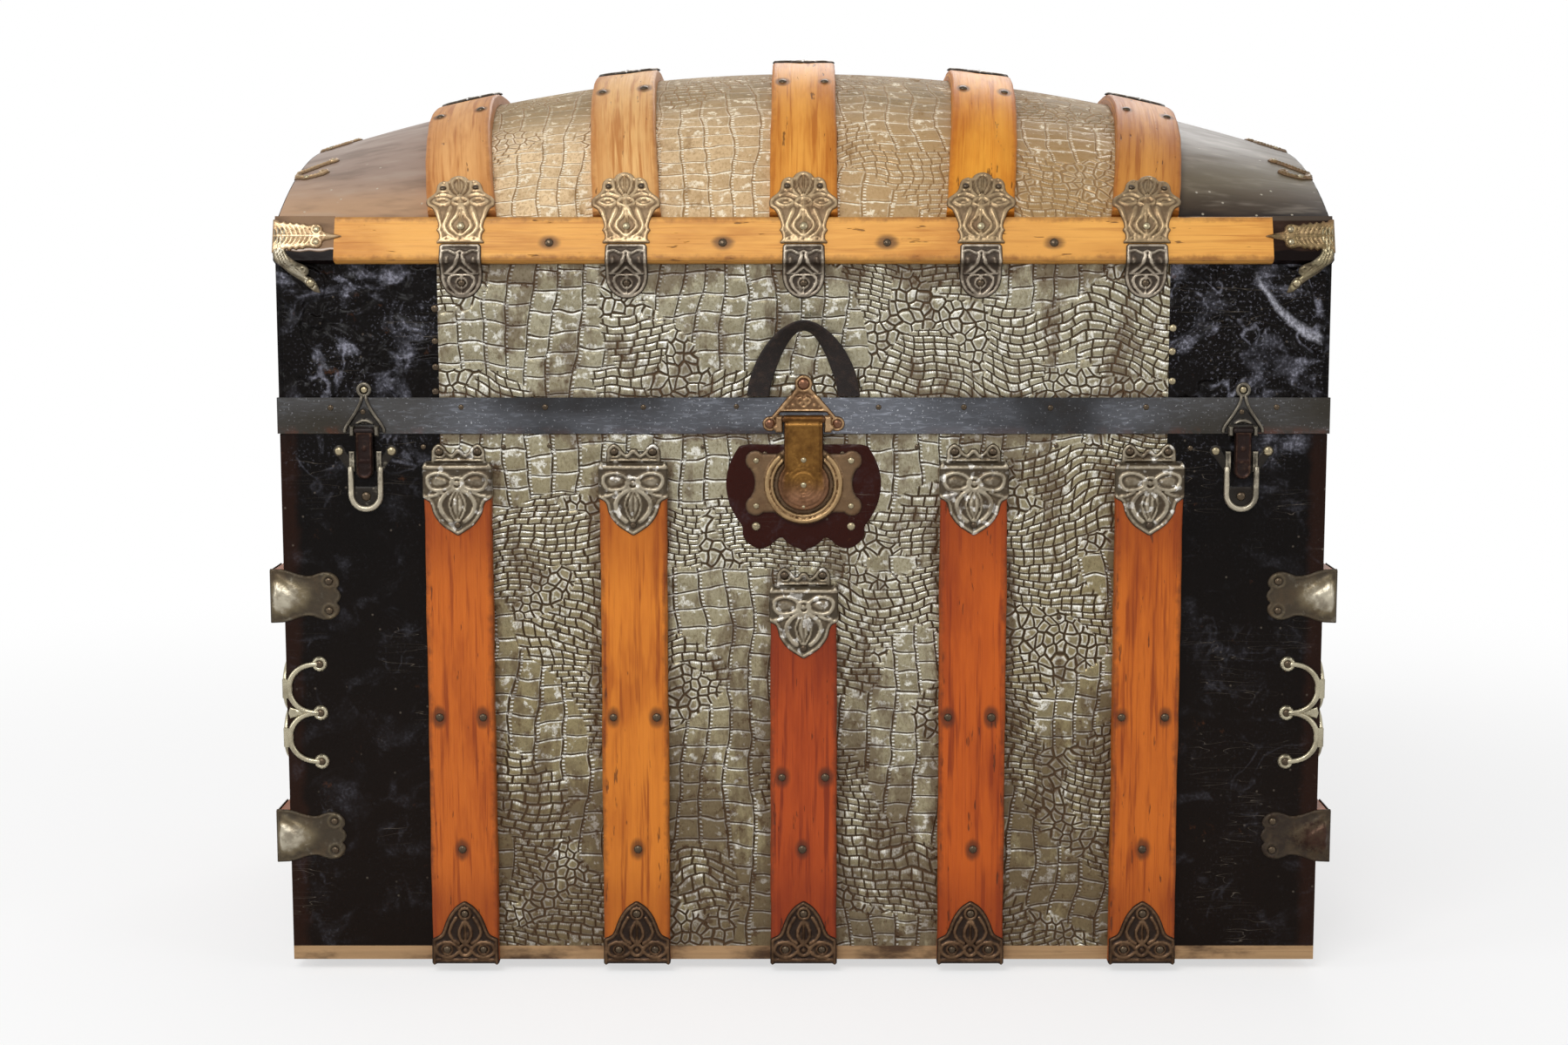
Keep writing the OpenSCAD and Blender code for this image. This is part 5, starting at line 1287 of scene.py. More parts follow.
rosette_edge = np.concatenate([[(0, 37.4)], curve([
    (2.8, 37.0), (5.8, 35.2), (7.4, 32.8), (8.6, 31.2), (12.0, 31.8), (15.4, 29.8), (17.2, 26.4), (17.8, 22.4),
    (18.8, 18.8), (21.2, 15.6), (24.4, 12.8), (26.2, 10.0), (26.6, 6.6), (25.4, 3.6), (22.6, 1.8), (20.0, -0.4),
    (18.2, -3.4), (17.2, -7.4), (17.4, -9.6), (18.6, -11.2), (17.4, -13.2), (16.4, -15.4), (16.6, -18.6),
    (18.2, -20.6), (17.8, -22.0)], steps=3), [(0, -22.0)]])
rosette_shape = polygon(rosette_edge, True)
rosette_lines = ornament([
    ("line", loop([(0, 14.0), (3.2, 18.4), (5.4, 25.4), (4.4, 31.2), (0, 33.8)]), 1.0, 1.5),
    ("leaf", loop([(0, 15.6), (3.0, 20), (4.4, 26), (2.8, 31), (0, 32.4)]), 1.3),
    ("line", curve([(3.6, 13.2), (7.4, 17.6), (8.8, 23.4), (9.2, 28.4)]), 1.2, 1.4),
    ("line", curve([(4.6, 12.4), (9.6, 15.0), (13.6, 15.8), (17.2, 14.2)]), 1.2, 1.4),
    ("ring", 12.8, 23.2, 3.9, 1.0, 1.0),
    ("line", loop([(8.0, 7.8), (11.6, 10.8), (16.6, 10.8), (20.6, 8.2), (16.6, 5.2), (11.6, 5.0)]), 1.3, 1.5),
    ("leaf", loop([(9.4, 7.8), (13, 10), (18.6, 8.2), (13, 5.8)]), 1.2),
    ("line", loop([(0, 4.4), (4.4, 5.2), (6.2, 7.8), (4.4, 10.4), (0, 11.2)]), 1.3, 1.8),
    ("boss", 0, 7.8, 2.6, 1.1),
    ("line", loop([(0, 2.4), (3.2, -0.8), (7.0, -4.6), (7.6, -8.8), (4.8, -12.8), (0, -15.2)]), 1.4, 1.7),
    ("line", curve([(8.0, 1.8), (11.4, -3.0), (12.6, -8.4), (10.0, -13.6), (5.0, -17.2)]), 1.6, 1.4),
    ("line", curve([(0, -17.0), (3.4, -18.8), (7.0, -18.8), (10.6, -17.2), (13.0, -18.6)]), 1.2, 1.2),
])

tongue_edge = np.concatenate([[(0, 0.4), (14.2, 0.4), (16.0, -1.6), (16.2, -8), (16.4, -27)],
                              curve([(16.2, -30.5), (14.9, -35.5), (12.2, -40), (8.2, -43.4), (4, -45.2), (0.4, -45.7)],
                                    steps=4)])
tongue_shape = polygon(tongue_edge, True)
tongue_lines = ornament([
    ("line", curve([(0, -5.6), (4, -7.4), (9, -5.2), (14, -6)]), 1.2, 1.3),
    ("line", curve([(1.4, -9), (3.2, -14), (6.4, -20), (10.4, -24)]), 1.5, 1.6),
    ("leaf", loop([(8, -10), (12, -9.5), (12.5, -17), (8.5, -15)]), 0.9),
    ("line", curve([(0, -19.6), (3, -22.4), (7, -25.6), (12.4, -25.4)]), 1.2, 1.3),
    ("line", loop([(0, -28.6), (3.6, -27), (8.4, -28.4), (9.6, -33), (6.4, -38.6), (0, -42.2)]), 1.3, 1.5),
    ("ring", 0, -33.6, 3.9, 1.0, 1.0),
])


def rosette_lay(x0):
    def lay(a, b, up):
        up = up + clamp_seat * 0.6
        t = b / arch_half_length(x0) - 1
        on_top = on_slat(x0, t, a, slat_t + up)
        on_rail = rail_point(x0 + a, -b, up)
        share = soft(b, -2.6, 2.6)[:, None]
        return on_top * share + on_rail * (1 - share)
    return lay


def lid_clamps():
    """Rosettes and tongues where the dome's slats meet the rails, and plates over the crown."""
    rosettes, tongues = Stock(), Stock()
    corner, head = rail_point(0.0, rail_face_h, 0.15), rail_point(0.0, 22.6, 0.15)
    path = [(head[1], head[2]), (corner[1], corner[2] - 0.5), (-244.6, 559.4), (-240.2, 552.4), (-240.1, 500)]
    for x0 in dome_slat_x:
        for side in (1, -1):
            turn = (1, side, 1)
            lay = rosette_lay(x0)
            rosettes.add(*stamp(rosette_shape, rosette_lines, lay, (-27, -23, 27, 38)), turn=turn)
            rivets_by(lay, "lid", "bright", [(0, -8.6)], 1.4, 3.3, turn)
            rivets_by(lay, "lid", "dark", [(-12.8, 23.2), (12.8, 23.2)], 1.0, 2.4, turn)
            lay = bent(x0, path, 0.0)
            tongues.add(*stamp(tongue_shape, tongue_lines, lay, (-17, -46, 17, 1)), turn=turn)
            rivets_by(lay, "lid", "dark", [(0, -33.6)], 1.2, 3.0, turn)
    rosettes.make("rosette_clamps_pressed", "lid", bronze_plate, ["rosette_clamps"], "tinned_clamp", 50)
    tongues.make("tongue_plates_pressed", "lid", dark_plate, ["tongue_plates"], "tinned_clamp", 50)

    apex = Stock()
    half = loop([(0, 29), (9, 26.5), (12, 20.5), (20, 17), (23.5, 10), (26.2, 5), (26.2, -5), (23.5, -10), (20, -17),
                 (12, -20.5), (9, -26.5), (0, -29)], 4)
    lines = ornament([
        ("ring", 0, 0, 7, 1.4, 1.5), ("boss", 0, 0, 3, 1.2),
        ("line", loop([(0, 10), (4.5, 14), (4.5, 20), (0, 25)]), 1.3, 1.3),
        ("line", loop([(0, -10), (4.5, -14), (4.5, -20), (0, -25)]), 1.3, 1.3),
        ("line", loop([(9, 0), (13, 6), (20, 5), (22, 0), (20, -5), (13, -6)]), 1.3, 1.3),
    ])
    for x0 in dome_slat_x:
        def lay(a, b, up, x0=x0):
            return on_slat(x0, b / arch_half_length(x0), a, slat_t + clamp_seat * 0.6 + up)
        apex.add(*stamp(even(polygon(half)), lines, lay, (-27, -30, 27, 30), 1.0))
        rivets_by(lay, "lid", "dark", [(0, 17), (0, -17), (-16, 0), (16, 0)], 0.9, 2.8)
    apex.make("apex_clamps_pressed", "lid", dark_plate, ["apex_clamps"], "tinned_clamp", 50)


slat_clamps()
lid_clamps()


# ------------------------------------------------------------------ lock and hasp

def lock_pieces():
    edge = np.concatenate([[(0, 31), (44, 31)], curve([
        (50, 29.5), (55.5, 20), (59.5, 8), (60, -4), (57, -17), (51.5, -27.5), (47.5, -33.5), (47, -41), (41.5, -47.5),
        (34.5, -50.5), (27, -48.6), (20.5, -43.2), (16.5, -42), (12.5, -46), (7, -49.4), (3, -50.8), (0, -53.6)],
        steps=4)])

    def swell(p, inside):
        return 0.5 * soft(inside, 0, 3.5) + 0.25 * np.sin(p[:, 0] * 0.13) * np.cos(p[:, 1] * 0.11)
    lay = flat_wall(0, ring_z, half_d + 0.02)
    Stock().add(*stamp(polygon(edge, True), swell, lay, (-61, -55, 61, 32), 1.3, 1.0)).make(
        "lock_backing_shaped", "case", backing_red, ["lock_backing"], "backing_paint", 60)
    rivets_by(lay, "case", "bright", [(-37, -33), (37, -33)], 1.3, 3.4)
    rivets_by(lay, "case", "dark", [(-30, 24), (30, 24)], 1.3, 2.0)

    lobe_z = (18.6, -16.8)
    lobes = [disc(sx * 37.4, z, 7.8) for sx in sides for z in lobe_z]
    waist = cut(block(-41, -16.8, 41, 18.6), *[disc(sx * 57.5, 1, 19.5) for sx in sides],
                *[disc(sx * 26.5, 32.5, 9.5) for sx in sides])
    plate = joined(*lobes, block(-34, -22, 34, 24), waist, disc(0, 0, 31.2))

    def ringed(p, inside):
        """The raised double ring, open at the top for the hasp, with a well inside it."""
        r = away(p, 0, 0)
        angle = np.degrees(np.arctan2(np.abs(p[:, 0]), p[:, 1]))
        share = soft(angle, 33, 42)
        ridge = np.maximum(bead(r - 28.4, 2.4, 3.2), bead(r - 24.6, 1.7, 2.6)) * share
        well = -0.7 * soft(24.2 - r, 0, 1.0) * soft(angle, 20, 30)
        dish = 0.5 * soft(inside, 0, 2.4)
        return np.maximum(ridge, dish + well) + 0.3 * bead(r - 21.2, 0.9, 1.0) * share
    lay = flat_wall(0, ring_z, half_d + 1.55)
    Stock().add(*stamp(plate, ringed, lay, (-46, -32, 46, 32), 0.8, 1.3)).make(
        "lock_plate_pressed", "case", brass_plate, ["lock_plate"], "lock_brass", 50)
    rivets_by(lay, "case", "bright", [(sx * 36.8, z) for sx in sides for z in lobe_z], 1.9, 2.5)

    drop = hasp_pin_z - ring_z

    def chased(p, inside):
        """Rings round the hasp's boss and two circles of dots, below a raised strap."""
        r = away(p, 0, 0)
        h = bead(inside - 1.4, 1.2, 0.35)
        h = np.maximum(h, 0.9 * soft(16.8 - r, 0, 0.8))
        h = np.maximum(h, 0.9 * soft(12.6 - np.abs(p[:, 0]), 0, 0.8) * soft(p[:, 1], -1, 3))
        h = h + bead(r - 9.2, 0.9, 0.55) + bead(r - 7.2, 0.7, 0.4) + bead(r - 12.8, 0.8, 0.4)
        for dots, radius, start, size, tall in ((8, 5.0, 0.4, 1.0, 0.5), (16, 15.0, 0.2, 1.1, 0.45)):
            for k in range(dots):
                turn = k * math.tau / dots + start
                h = h + bead(away(p, radius * math.cos(turn), radius * math.sin(turn)), size, tall)
        return h + bead(p[:, 1] - drop + 4.6, 1.4, 0.9)
    hasp = Stock()
    lay = flat_wall(0, ring_z, hasp_back_y)
    hasp.add(*stamp(joined(disc(0, 0, hasp_r), block(-15.1, 0, 15.1, drop)), chased, lay, (-21, -21, 21, drop + 1),
                    0.8, 2.4))
    barrel = np.stack([np.linspace(-15.0, 15.0, 24), np.full(24, -hasp_pin_y), np.full(24, hasp_pin_z)], 1)
    hasp.add(*rod(barrel, 3.2, 16), relief=np.full(26 * 16, 2.4))
    hasp.make("lock_hasp_pressed", "hasp", hasp_brass, ["lock_hasp"], "lock_brass", 50)
    rivets_by(lay, "hasp", "bright", [(0, 0), (0, 19.5)], 3.2, 2.3)
    rivets_by(lay, "hasp", "bright", [(0, -17.0)], 2.8, 1.4)


def hasp_mount():
    def bar_between(x0, y0, x1, y1, r):
        return lambda p: from_line(p, [(x0, y0), (x1, y1)]) - r
    head = joined(disc(0, 27, 7.0), polygon([(0, 29), (5.4, 22.5), (18.6, 6.4), (18.6, 4.4), (0, 4.4)], True),
                  even(bar_between(3, 24.5, 25, -1.5, 1.7)), even(disc(26, -4.5, 5.8)))
    lines = ornament([
        ("ring", 0, 27, 5.6, 1.3, 1.3), ("line", [(4.4, 22.4), (17.0, 7.0)], 1.1, 1.2),
        ("line", [(0, 6.0), (17.6, 6.0)], 1.2, 1.3), ("line", [(8, 19.5), (25, -1.0)], 1.1, 1.0),
        ("ring", 0, 15.4, 2.2, 0.8, 0.9), ("ring", 0, 10.6, 2.2, 0.8, 0.9), ("ring", 2.7, 13, 2.2, 0.8, 0.9),
        ("boss", 8.2, 9.6, 1.4, 1.0), ("boss", 12.2, 8.6, 1.0, 0.8), ("ring", 26, -4.5, 4.8, 1.1, 0.9),
    ])

    def height(p, inside):
        return lines(p, inside, ridge=0.9, rim=1.2)
    wall, over_belt = -half_d - 0.05, -half_d - 1.55
    lay = bent(0, [(wall, hasp_pin_z + 36), (wall, 458.6), (over_belt, 457.2), (over_belt, 428)], 36.0)
    mount = Stock().add(*stamp(head, height, lay, (-33, -11, 33, 35), 0.8, 1.0))
    ear_lay = flat_wall(0, hasp_pin_z, half_d + 1.55)
    for side in sides:
        x0, x1 = sorted((side * 15.8, side * 21.8))
        ear = joined(block(x0, -10.5, x1, 2.8), disc(side * 21.4, -6.6, 2.6))
        mount.add(*stamp(ear, swelling(0.8, 2), ear_lay, (x0 - 4, -12, x1 + 4, 4), 0.8, 5.0))
    mount.make("hasp_mount_pressed", "lid", copper_plate, ["hasp_plate"], "cast_hardware", 50)
    rivets_by(lay, "lid", "copper", [(0, 27)], 1.2, 4.4)
    rivets_by(lay, "lid", "copper", [(-26, -4.5), (26, -4.5)], 1.2, 4.2)


lock_pieces()
hasp_mount()


# ------------------------------------------------------------------ draw bolts

def draw_bolts():
    plates, keepers = Stock(), Stock()
    front = -half_d - 0.1
    loop_z, loop_r, keeper_half = seam_z + 34.4, 4.6, 11.4
    arm = curve([(1.6, 30.0), (2.2, 26.0), (4.6, 20.5), (8.4, 14.4), (12.4, 8.6), (14.8, 4.4), (15.2, 1.8)], steps=5)
    base = cut(polygon([(0, 21), (3.2, 19), (8.8, 11.5), (14.2, 3.6), (14.8, 1.4), (0, 1.4)], True),
               block(-7.5, -1, 7.5, 7.6))
    tabs = joined(even(lambda p: from_line(p, [(11, 403), (19.8, 415.4)]) - 3.6), even(disc(20.3, 415.8, 4.6)),
                  disc(0, 381, 11))

    def housing(p, inside):
        r = away(p, 0, 3)
        return (bead(r - 7.6, 1.3, 1.6) + bead(r - 5.0, 0.9, 0.9)) * (p[:, 1] > 2) + 0.2 * soft(inside, 0, 1)

    def framed(p, inside):
        h = bead(inside - 1.5, 1.1, 1.0)
        return np.maximum(h, 0.8 * soft(2.6 - away(p, 0, -14), 0, 1.6) + bead(p[:, 1] + 24, 1.6, 0.5))

    for side, hand in ((-1, "left"), (1, "right")):
        x0 = side * draw_x
        # wishbone with a nailed loop
        for s in sides:
            z = seam_z + arm[:, 1]
            plates.bar(np.stack([x0 + s * arm[:, 0], front - 1.2 - 1.5 * soft(-z, -460, -456), z], 1), 1.35, 8,
                       relief=2.0)
        turn = np.linspace(0, 2 * np.pi, 28, endpoint=False)
        ring = np.stack([x0 + loop_r * np.sin(turn), np.full(28, front - 1.1), loop_z + loop_r * np.cos(turn)], 1)
        out = unit(ring - (x0, front - 1.1, loop_z))
        angle = np.linspace(0, 2 * np.pi, 8, endpoint=False)
        rings = ring[:, None] + 1.4 * (out[:, None] * np.cos(angle)[None, :, None]
                                       + np.array([0, -1.0, 0]) * np.sin(angle)[None, :, None])
        points, faces, _ = skin(rings, looped=True)
        plates.add(points, faces, relief=np.full(len(points), 2.0))
        rivet("lid", "bright", (x0, front - 0.4, loop_z), (0, -1, 0), 2.9)
        rivet("lid", "nail", (x0 - 1.0, front - 1.9, seam_z + 17.4), (0, -1, 0), 2.2)
        # base plate between the arms, with a half round housing over the tongue's barrel
        lay = flat_wall(x0, seam_z, half_d + 1.55)
        plates.add(*stamp(base, housing, lay, (-16, 1, 16, 22), 0.8, 0.7))
        for s in sides:
            xa, xb = sorted((s * 7.6, s * 11.4))
            plates.add(*stamp(block(xa, -1.4, xb, 7.0), swelling(0.6, 1.4), lay, (xa - 1, -2, xb + 1, 8), 0.8, 4.6))
        # tongue with a raised frame
        tongue = Stock().add(*stamp(joined(block(-6.8, -31, 6.8, -0.5), disc(0, -31, 6.8)), framed,
                                    flat_wall(x0, draw_pin_z, half_d + 4.6), (-8, -39, 8, 1), 0.75, 1.8))
        barrel = np.stack([np.linspace(x0 - 6.6, x0 + 6.6, 10), np.full(10, -draw_pin_y), np.full(10, draw_pin_z)], 1)
        tongue.bar(barrel, 2.6, 12, relief=1.4)
        name = "drawbolt_tongue_" + hand
        tongue.make(name + "_pressed", "draw_bolt_" + hand, tongue_plate, [name], "cast_hardware", 50)
        # keeper: raised U, nailed tabs and foot
        turn = np.linspace(0, np.pi, 26)
        legs = np.array([403, 398, 393, 388])
        u = np.concatenate([np.stack([np.full(4, keeper_half), legs], 1),
                            np.stack([keeper_half * np.cos(turn), keeper_z - keeper_half * np.sin(turn)], 1),
                            np.stack([np.full(4, -keeper_half), legs[::-1]], 1)])
        keepers.bar(np.stack([x0 + u[:, 0], np.full(len(u), -half_d - 2.0), u[:, 1]], 1), 2.3, 12, 0.95, relief=2.2)
        lay = flat_wall(x0, 0, half_d + 0.05)
        keepers.add(*stamp(cut(tabs, block(-7.4, 388, 7.4, 402)), swelling(0.3, 1.4), lay, (-26, 368, 26, 422),
                           0.9, 0.7))
        # cheeks beside the tongue, above the bright loop
        for s in sides:
            xa, xb = sorted((s * 7.9, s * 13.0))
            keepers.add(*stamp(block(xa, 399.5, xb, 416), rimmed(1.0, 0.8, 0.25), lay, (xa - 1, 398, xb + 1, 417),
                               0.75, 1.5))
        rivet("case", "nail", (x0, -half_d - 0.9, 380.5), (0, -1, 0), 3.7)
        for s in sides:
            rivet("case", "bright", (x0 + s * 20.3, -half_d - 1.0, 415.8), (0, -1, 0), 3.6)
    plates.make("drawbolt_wishbones", "lid", dark_cast, ["drawbolt_plates"], "cast_hardware", 50)
    keepers.make("drawbolt_keepers_cast", "case", keeper_cast, ["drawbolt_keepers"], "cast_hardware", 50)


draw_bolts()


# ------------------------------------------------------------------ corners

def end_clamps():
    """Plates that bulge over the ends of the end slats, waisted to two nailed lobes."""
    half = [(-0.5, 21.4), (9, 21.0), (15, 19.6), (21, 17.4), (27, 16.0), (32, 16.0), (36.5, 17.6), (41, 18.9),
            (46, 18.8), (50.5, 16.6), (53.4, 12.6), (53.6, 8.4), (51.6, 5.6), (53.6, 3.4), (54.6, 0)]
    half = np.concatenate([half[:2], curve(half[1:], steps=4)[1:]])
    outline = polygon(np.concatenate([half, (half * (1, -1))[::-1]]))
    on_end = polygon([(-0.6, 21), (36, 21), (41, 17), (43, 10), (41.4, 5), (43, 0), (41.4, -5), (43, -10), (41, -17),
                      (36, -21), (-0.6, -21)])

    def bulge(p, inside):
        fall = 1 - soft(p[:, 0], 2, 40)
        ridge = 5.2 * np.exp(-((p[:, 1] + 1.5 - p[:, 0] * 0.06) / (12.5 - 0.12 * p[:, 0])) ** 2) * fall
        dent = 0.5 * np.sin(p[:, 0] * 0.5 + p[:, 1] * 0.3) * np.cos(p[:, 1] * 0.42) * fall
        lobe = 0.7 * bead(np.hypot(p[:, 0] - 45.5, np.abs(p[:, 1]) - 11.6) - 4.9, 1.2, 1.0)
        return ridge * soft(inside, 0, 6) + dent * soft(inside, 1, 5) + lobe + bead(inside - 1.2, 1.1, 0.5)

    def ringed(p, inside):
        return bead(inside - 1.6, 1.3, 0.8) + bead(away(p, 20, 0) - 9, 1.6, 0.6)
    plates = Stock()
    outer = half_w + slat_t + 1.4
    for sx in sides:
        for sy in sides_front_first:
            for z in end_slat_z:
                def lay(a, b, up):
                    return np.stack([outer - a, -(half_d + 0.1 + up), z + b], -1)
                turn = (sx, sy, 1)
                plates.add(*stamp(outline, bulge, lay, (-1, -22, 55, 22), 1.0, 1.0), turn=turn)
                rivets_by(lay, "case", "nail", [(45.5, -11.6), (45.5, 11.6)], 1.0, 3.1, turn)
                lay_end = end_wall(-half_d - 0.8, z, half_w + slat_t + 0.1)
                plates.add(*stamp(on_end, ringed, lay_end, (-1, -22, 44, 22), 1.2, 0.9), turn=turn)
                rivets_by(lay_end, "case", "nail", [(34, -12), (34, 12)], 1.0, 3.1, turn)
    plates.make("end_slat_clamps_pressed", "case", pewter_plate, ["end_slat_clamps"], "tinned_clamp", 50)


def corner_braces():
    """Three-armed braces: on each face of a corner, two half loops that swing out to it."""
    braces = Stock()
    pitch, reach = 39.0, 26.3
    angle = np.linspace(-np.pi / 2, np.pi / 2, 22)
    inward = reach - 24.2 * np.cos(angle) ** 0.8
    web = polygon([(1, 0), (2.2, 4.6), (6, 3.6), (12, 2.4), (18, 1.6), (21.5, 0), (18, -1.6), (12, -2.4), (6, -3.6),
                   (2.2, -4.6)])
    for sx in sides:
        for sy in sides_front_first:
            turn = (sx, sy, 1)
            for on_end in (False, True):
                for s in sides:
                    z = brace_z + s * pitch / 2 + pitch / 2 * np.sin(angle)
                    if on_end:
                        path = np.stack([np.full(22, half_w + 1.6), -half_d + inward, z], 1)
                    else:
                        path = np.stack([half_w - inward, np.full(22, -half_d - 1.6), z], 1)
                    braces.bar(path, 2.5 - 0.4 * np.abs(np.sin(angle)), 10, 0.9, (1, 0, 0) if on_end else (0, 1, 0),
                               turn=turn)
                for z in (-pitch, 0, pitch):
                    lay = (end_wall(-half_d + reach, brace_z + z, half_w + 0.1) if on_end
                           else flat_wall(half_w - reach, brace_z + z, half_d + 0.1))
                    braces.add(*stamp(disc(0, 0, 6.0), rimmed(1.5, 1.3, 0.8), lay, (-7, -7, 7, 7), 0.9, 1.7),
                               turn=turn)
                    rivets_by(lay, "case", "nail", [(0, 0)], 1.9, 3.1, turn)
            # webs where the two loops meet the corner, round its edge
            for z in (-pitch / 2, pitch / 2):
                rings = []
                for level in np.linspace(-7.5, 7.5, 9):
                    w = 4.6 * math.sqrt(max(0.02, 1 - (level / 8.5) ** 2))
                    rings.append([(half_w + x, -half_d + y, brace_z + z + level) for x, y in (
                        (-w, -0.2), (-w, -2.4), (-1, -3.2), (2.0, -3.0), (3.2, -1.6), (3.0, 1), (2.4, w), (0.2, w),
                        (0.2, -0.2))])
                points, faces, _ = skin(rings)
                braces.add(points, faces, turn=turn)

            def lay(a, b, up):
                return np.stack([half_w - a, -(half_d + 0.1 + up), brace_z + b], -1)
            braces.add(*stamp(web, lambda p, inside: bead(away(p, 8, 0), 2, 0.6), lay, (0, -6, 23, 6), 0.8, 1.7),
                       turn=turn)
    braces.make("corner_braces_cast", "case", nickel_metal, ["corner_braces"], "cast_hardware", 50)


def leaf_castings():
    """Cast leaves along the rails' ends, and their stems down the wall."""
    leaf = curve([(-1, 13.4), (2.5, 12.8), (5, 10.9), (7.5, 12.2), (10, 10.1), (12.5, 11.6), (15, 9.7), (17.5, 11.2),
                  (20, 9.3), (22.5, 10.4), (25, 8.7), (28, 8.8), (31, 9.8), (34.6, 9.2), (37.0, 7.0), (37.2, 4.8),
                  (38.6, 3.6), (42, 2.6), (47, 1.6), (52.5, 0)], steps=3)
    outline = polygon(np.concatenate([leaf, (leaf * (1, -1))[::-1]]))
    spine = [curve([(x, 0.4), ((x + x - 10.5) / 2 + 2.2, 6.2), (x - 10.5, 10.8)], steps=3)
             for x in np.arange(4, 40, 3.5)]

    def veins(p, inside):
        q = np.stack([p[:, 0], np.abs(p[:, 1])], 1)
        h = bead(from_line(q, [(0, 0), (50, 0)]), 1.1, 1.2)
        for vein in spine:
            h = np.maximum(h, bead(from_line(q, vein), 1.0, 1.0))
        return np.maximum(h, bead(away(q, 32.6, 5.0) - 3.6, 1.1, 1.3)) * soft(inside, 0, 1.4)

    stem_right = [(12, 2), (10.8, -7), (9.0, -13), (10.2, -20), (15.4, -25.2), (21.8, -30.0), (25.8, -34.0),
                  (25.6, -38.4), (23.8, -40.6), (27.4, -41.8), (31.6, -46.4), (34.4, -54.0)]
    stem_left = [(29.0, -52.6), (23.6, -48.0), (20.4, -44.8), (14.0, -40.8), (8.4, -35.4), (2.2, -27.6), (-0.2, -21.0),
                 (-0.4, -10), (-0.4, 2)]
    stem = polygon(np.concatenate([curve(stem_right, steps=3), curve(stem_left, steps=3)]))
    stalk = [(curve([(4.6 + shift, 0), (4.6 + shift * 0.8, -14), (6.6 + shift * 0.9, -23), (12.6 + shift * 1.1, -31.5),
                     (19.6 + shift * 0.8, -38.6), (23.4 + shift * 0.2, -42.4)], steps=4), tall)
             for shift, tall in ((-3.9, 1.0), (-1.3, 1.3), (1.3, 1.3), (3.9, 1.0))]
    corner, head = rail_point(0.0, rail_face_h, 0.1), rail_point(0.0, 10.0, 0.1)
    path = [(head[1], head[2]), (corner[1], corner[2] - 0.5), (-244.2, 559.0), (-240.2, 551.4), (-240.1, 500)]
    bend = bent(half_w, path, 0.0)

    def stalks(p, inside):
        h = np.zeros(len(p))
        for line, tall in stalk:
            h = np.maximum(h, bead(from_line(p, line), 0.95, tall))
        for x, y in ((21.6, -34.0), (14.6, -29.0)):
            h = np.maximum(h, bead(away(p, x, y) - 2.0, 0.9, 1.1))
        h = np.maximum(h, bead(np.hypot((p[:, 0] - 27.2) * 1.1, (p[:, 1] + 46.4) * 0.9) - 4.3, 1.1, 1.3))
        return h * soft(inside, 0, 1.4)

    def lay_leaf(a, b, up):
        return rail_point(half_w - a, rail_face_h * 0.46 - b, up + 0.1)

    def lay_stem(a, b, up):
        return bend(-a, b, up)
    castings, stems = Stock(), Stock()
    for sx in sides:
        for sy in sides_front_first:
            turn = (sx, sy, 1)
            castings.add(*stamp(outline, veins, lay_leaf, (-2, -15, 53, 15), 0.8, 1.3), turn=turn)
            rivets_by(lay_leaf, "lid", "bright", [(32.6, 5.0), (32.6, -5.0)], 1.6, 2.7, turn)
            stems.add(*stamp(stem, stalks, lay_stem, (-2, -56, 36, 3), 0.8, 1.2), turn=turn)
            rivets_by(lay_stem, "lid", "bright", [(26.8, -46.0)], 1.4, 3.2, turn)
    castings.make("corner_leaf_castings", "lid", leaf_cast, ["corner_castings"], "cast_hardware", 50)
    stems.make("corner_leaf_stems", "lid", stem_cast, (), "cast_hardware", 50)


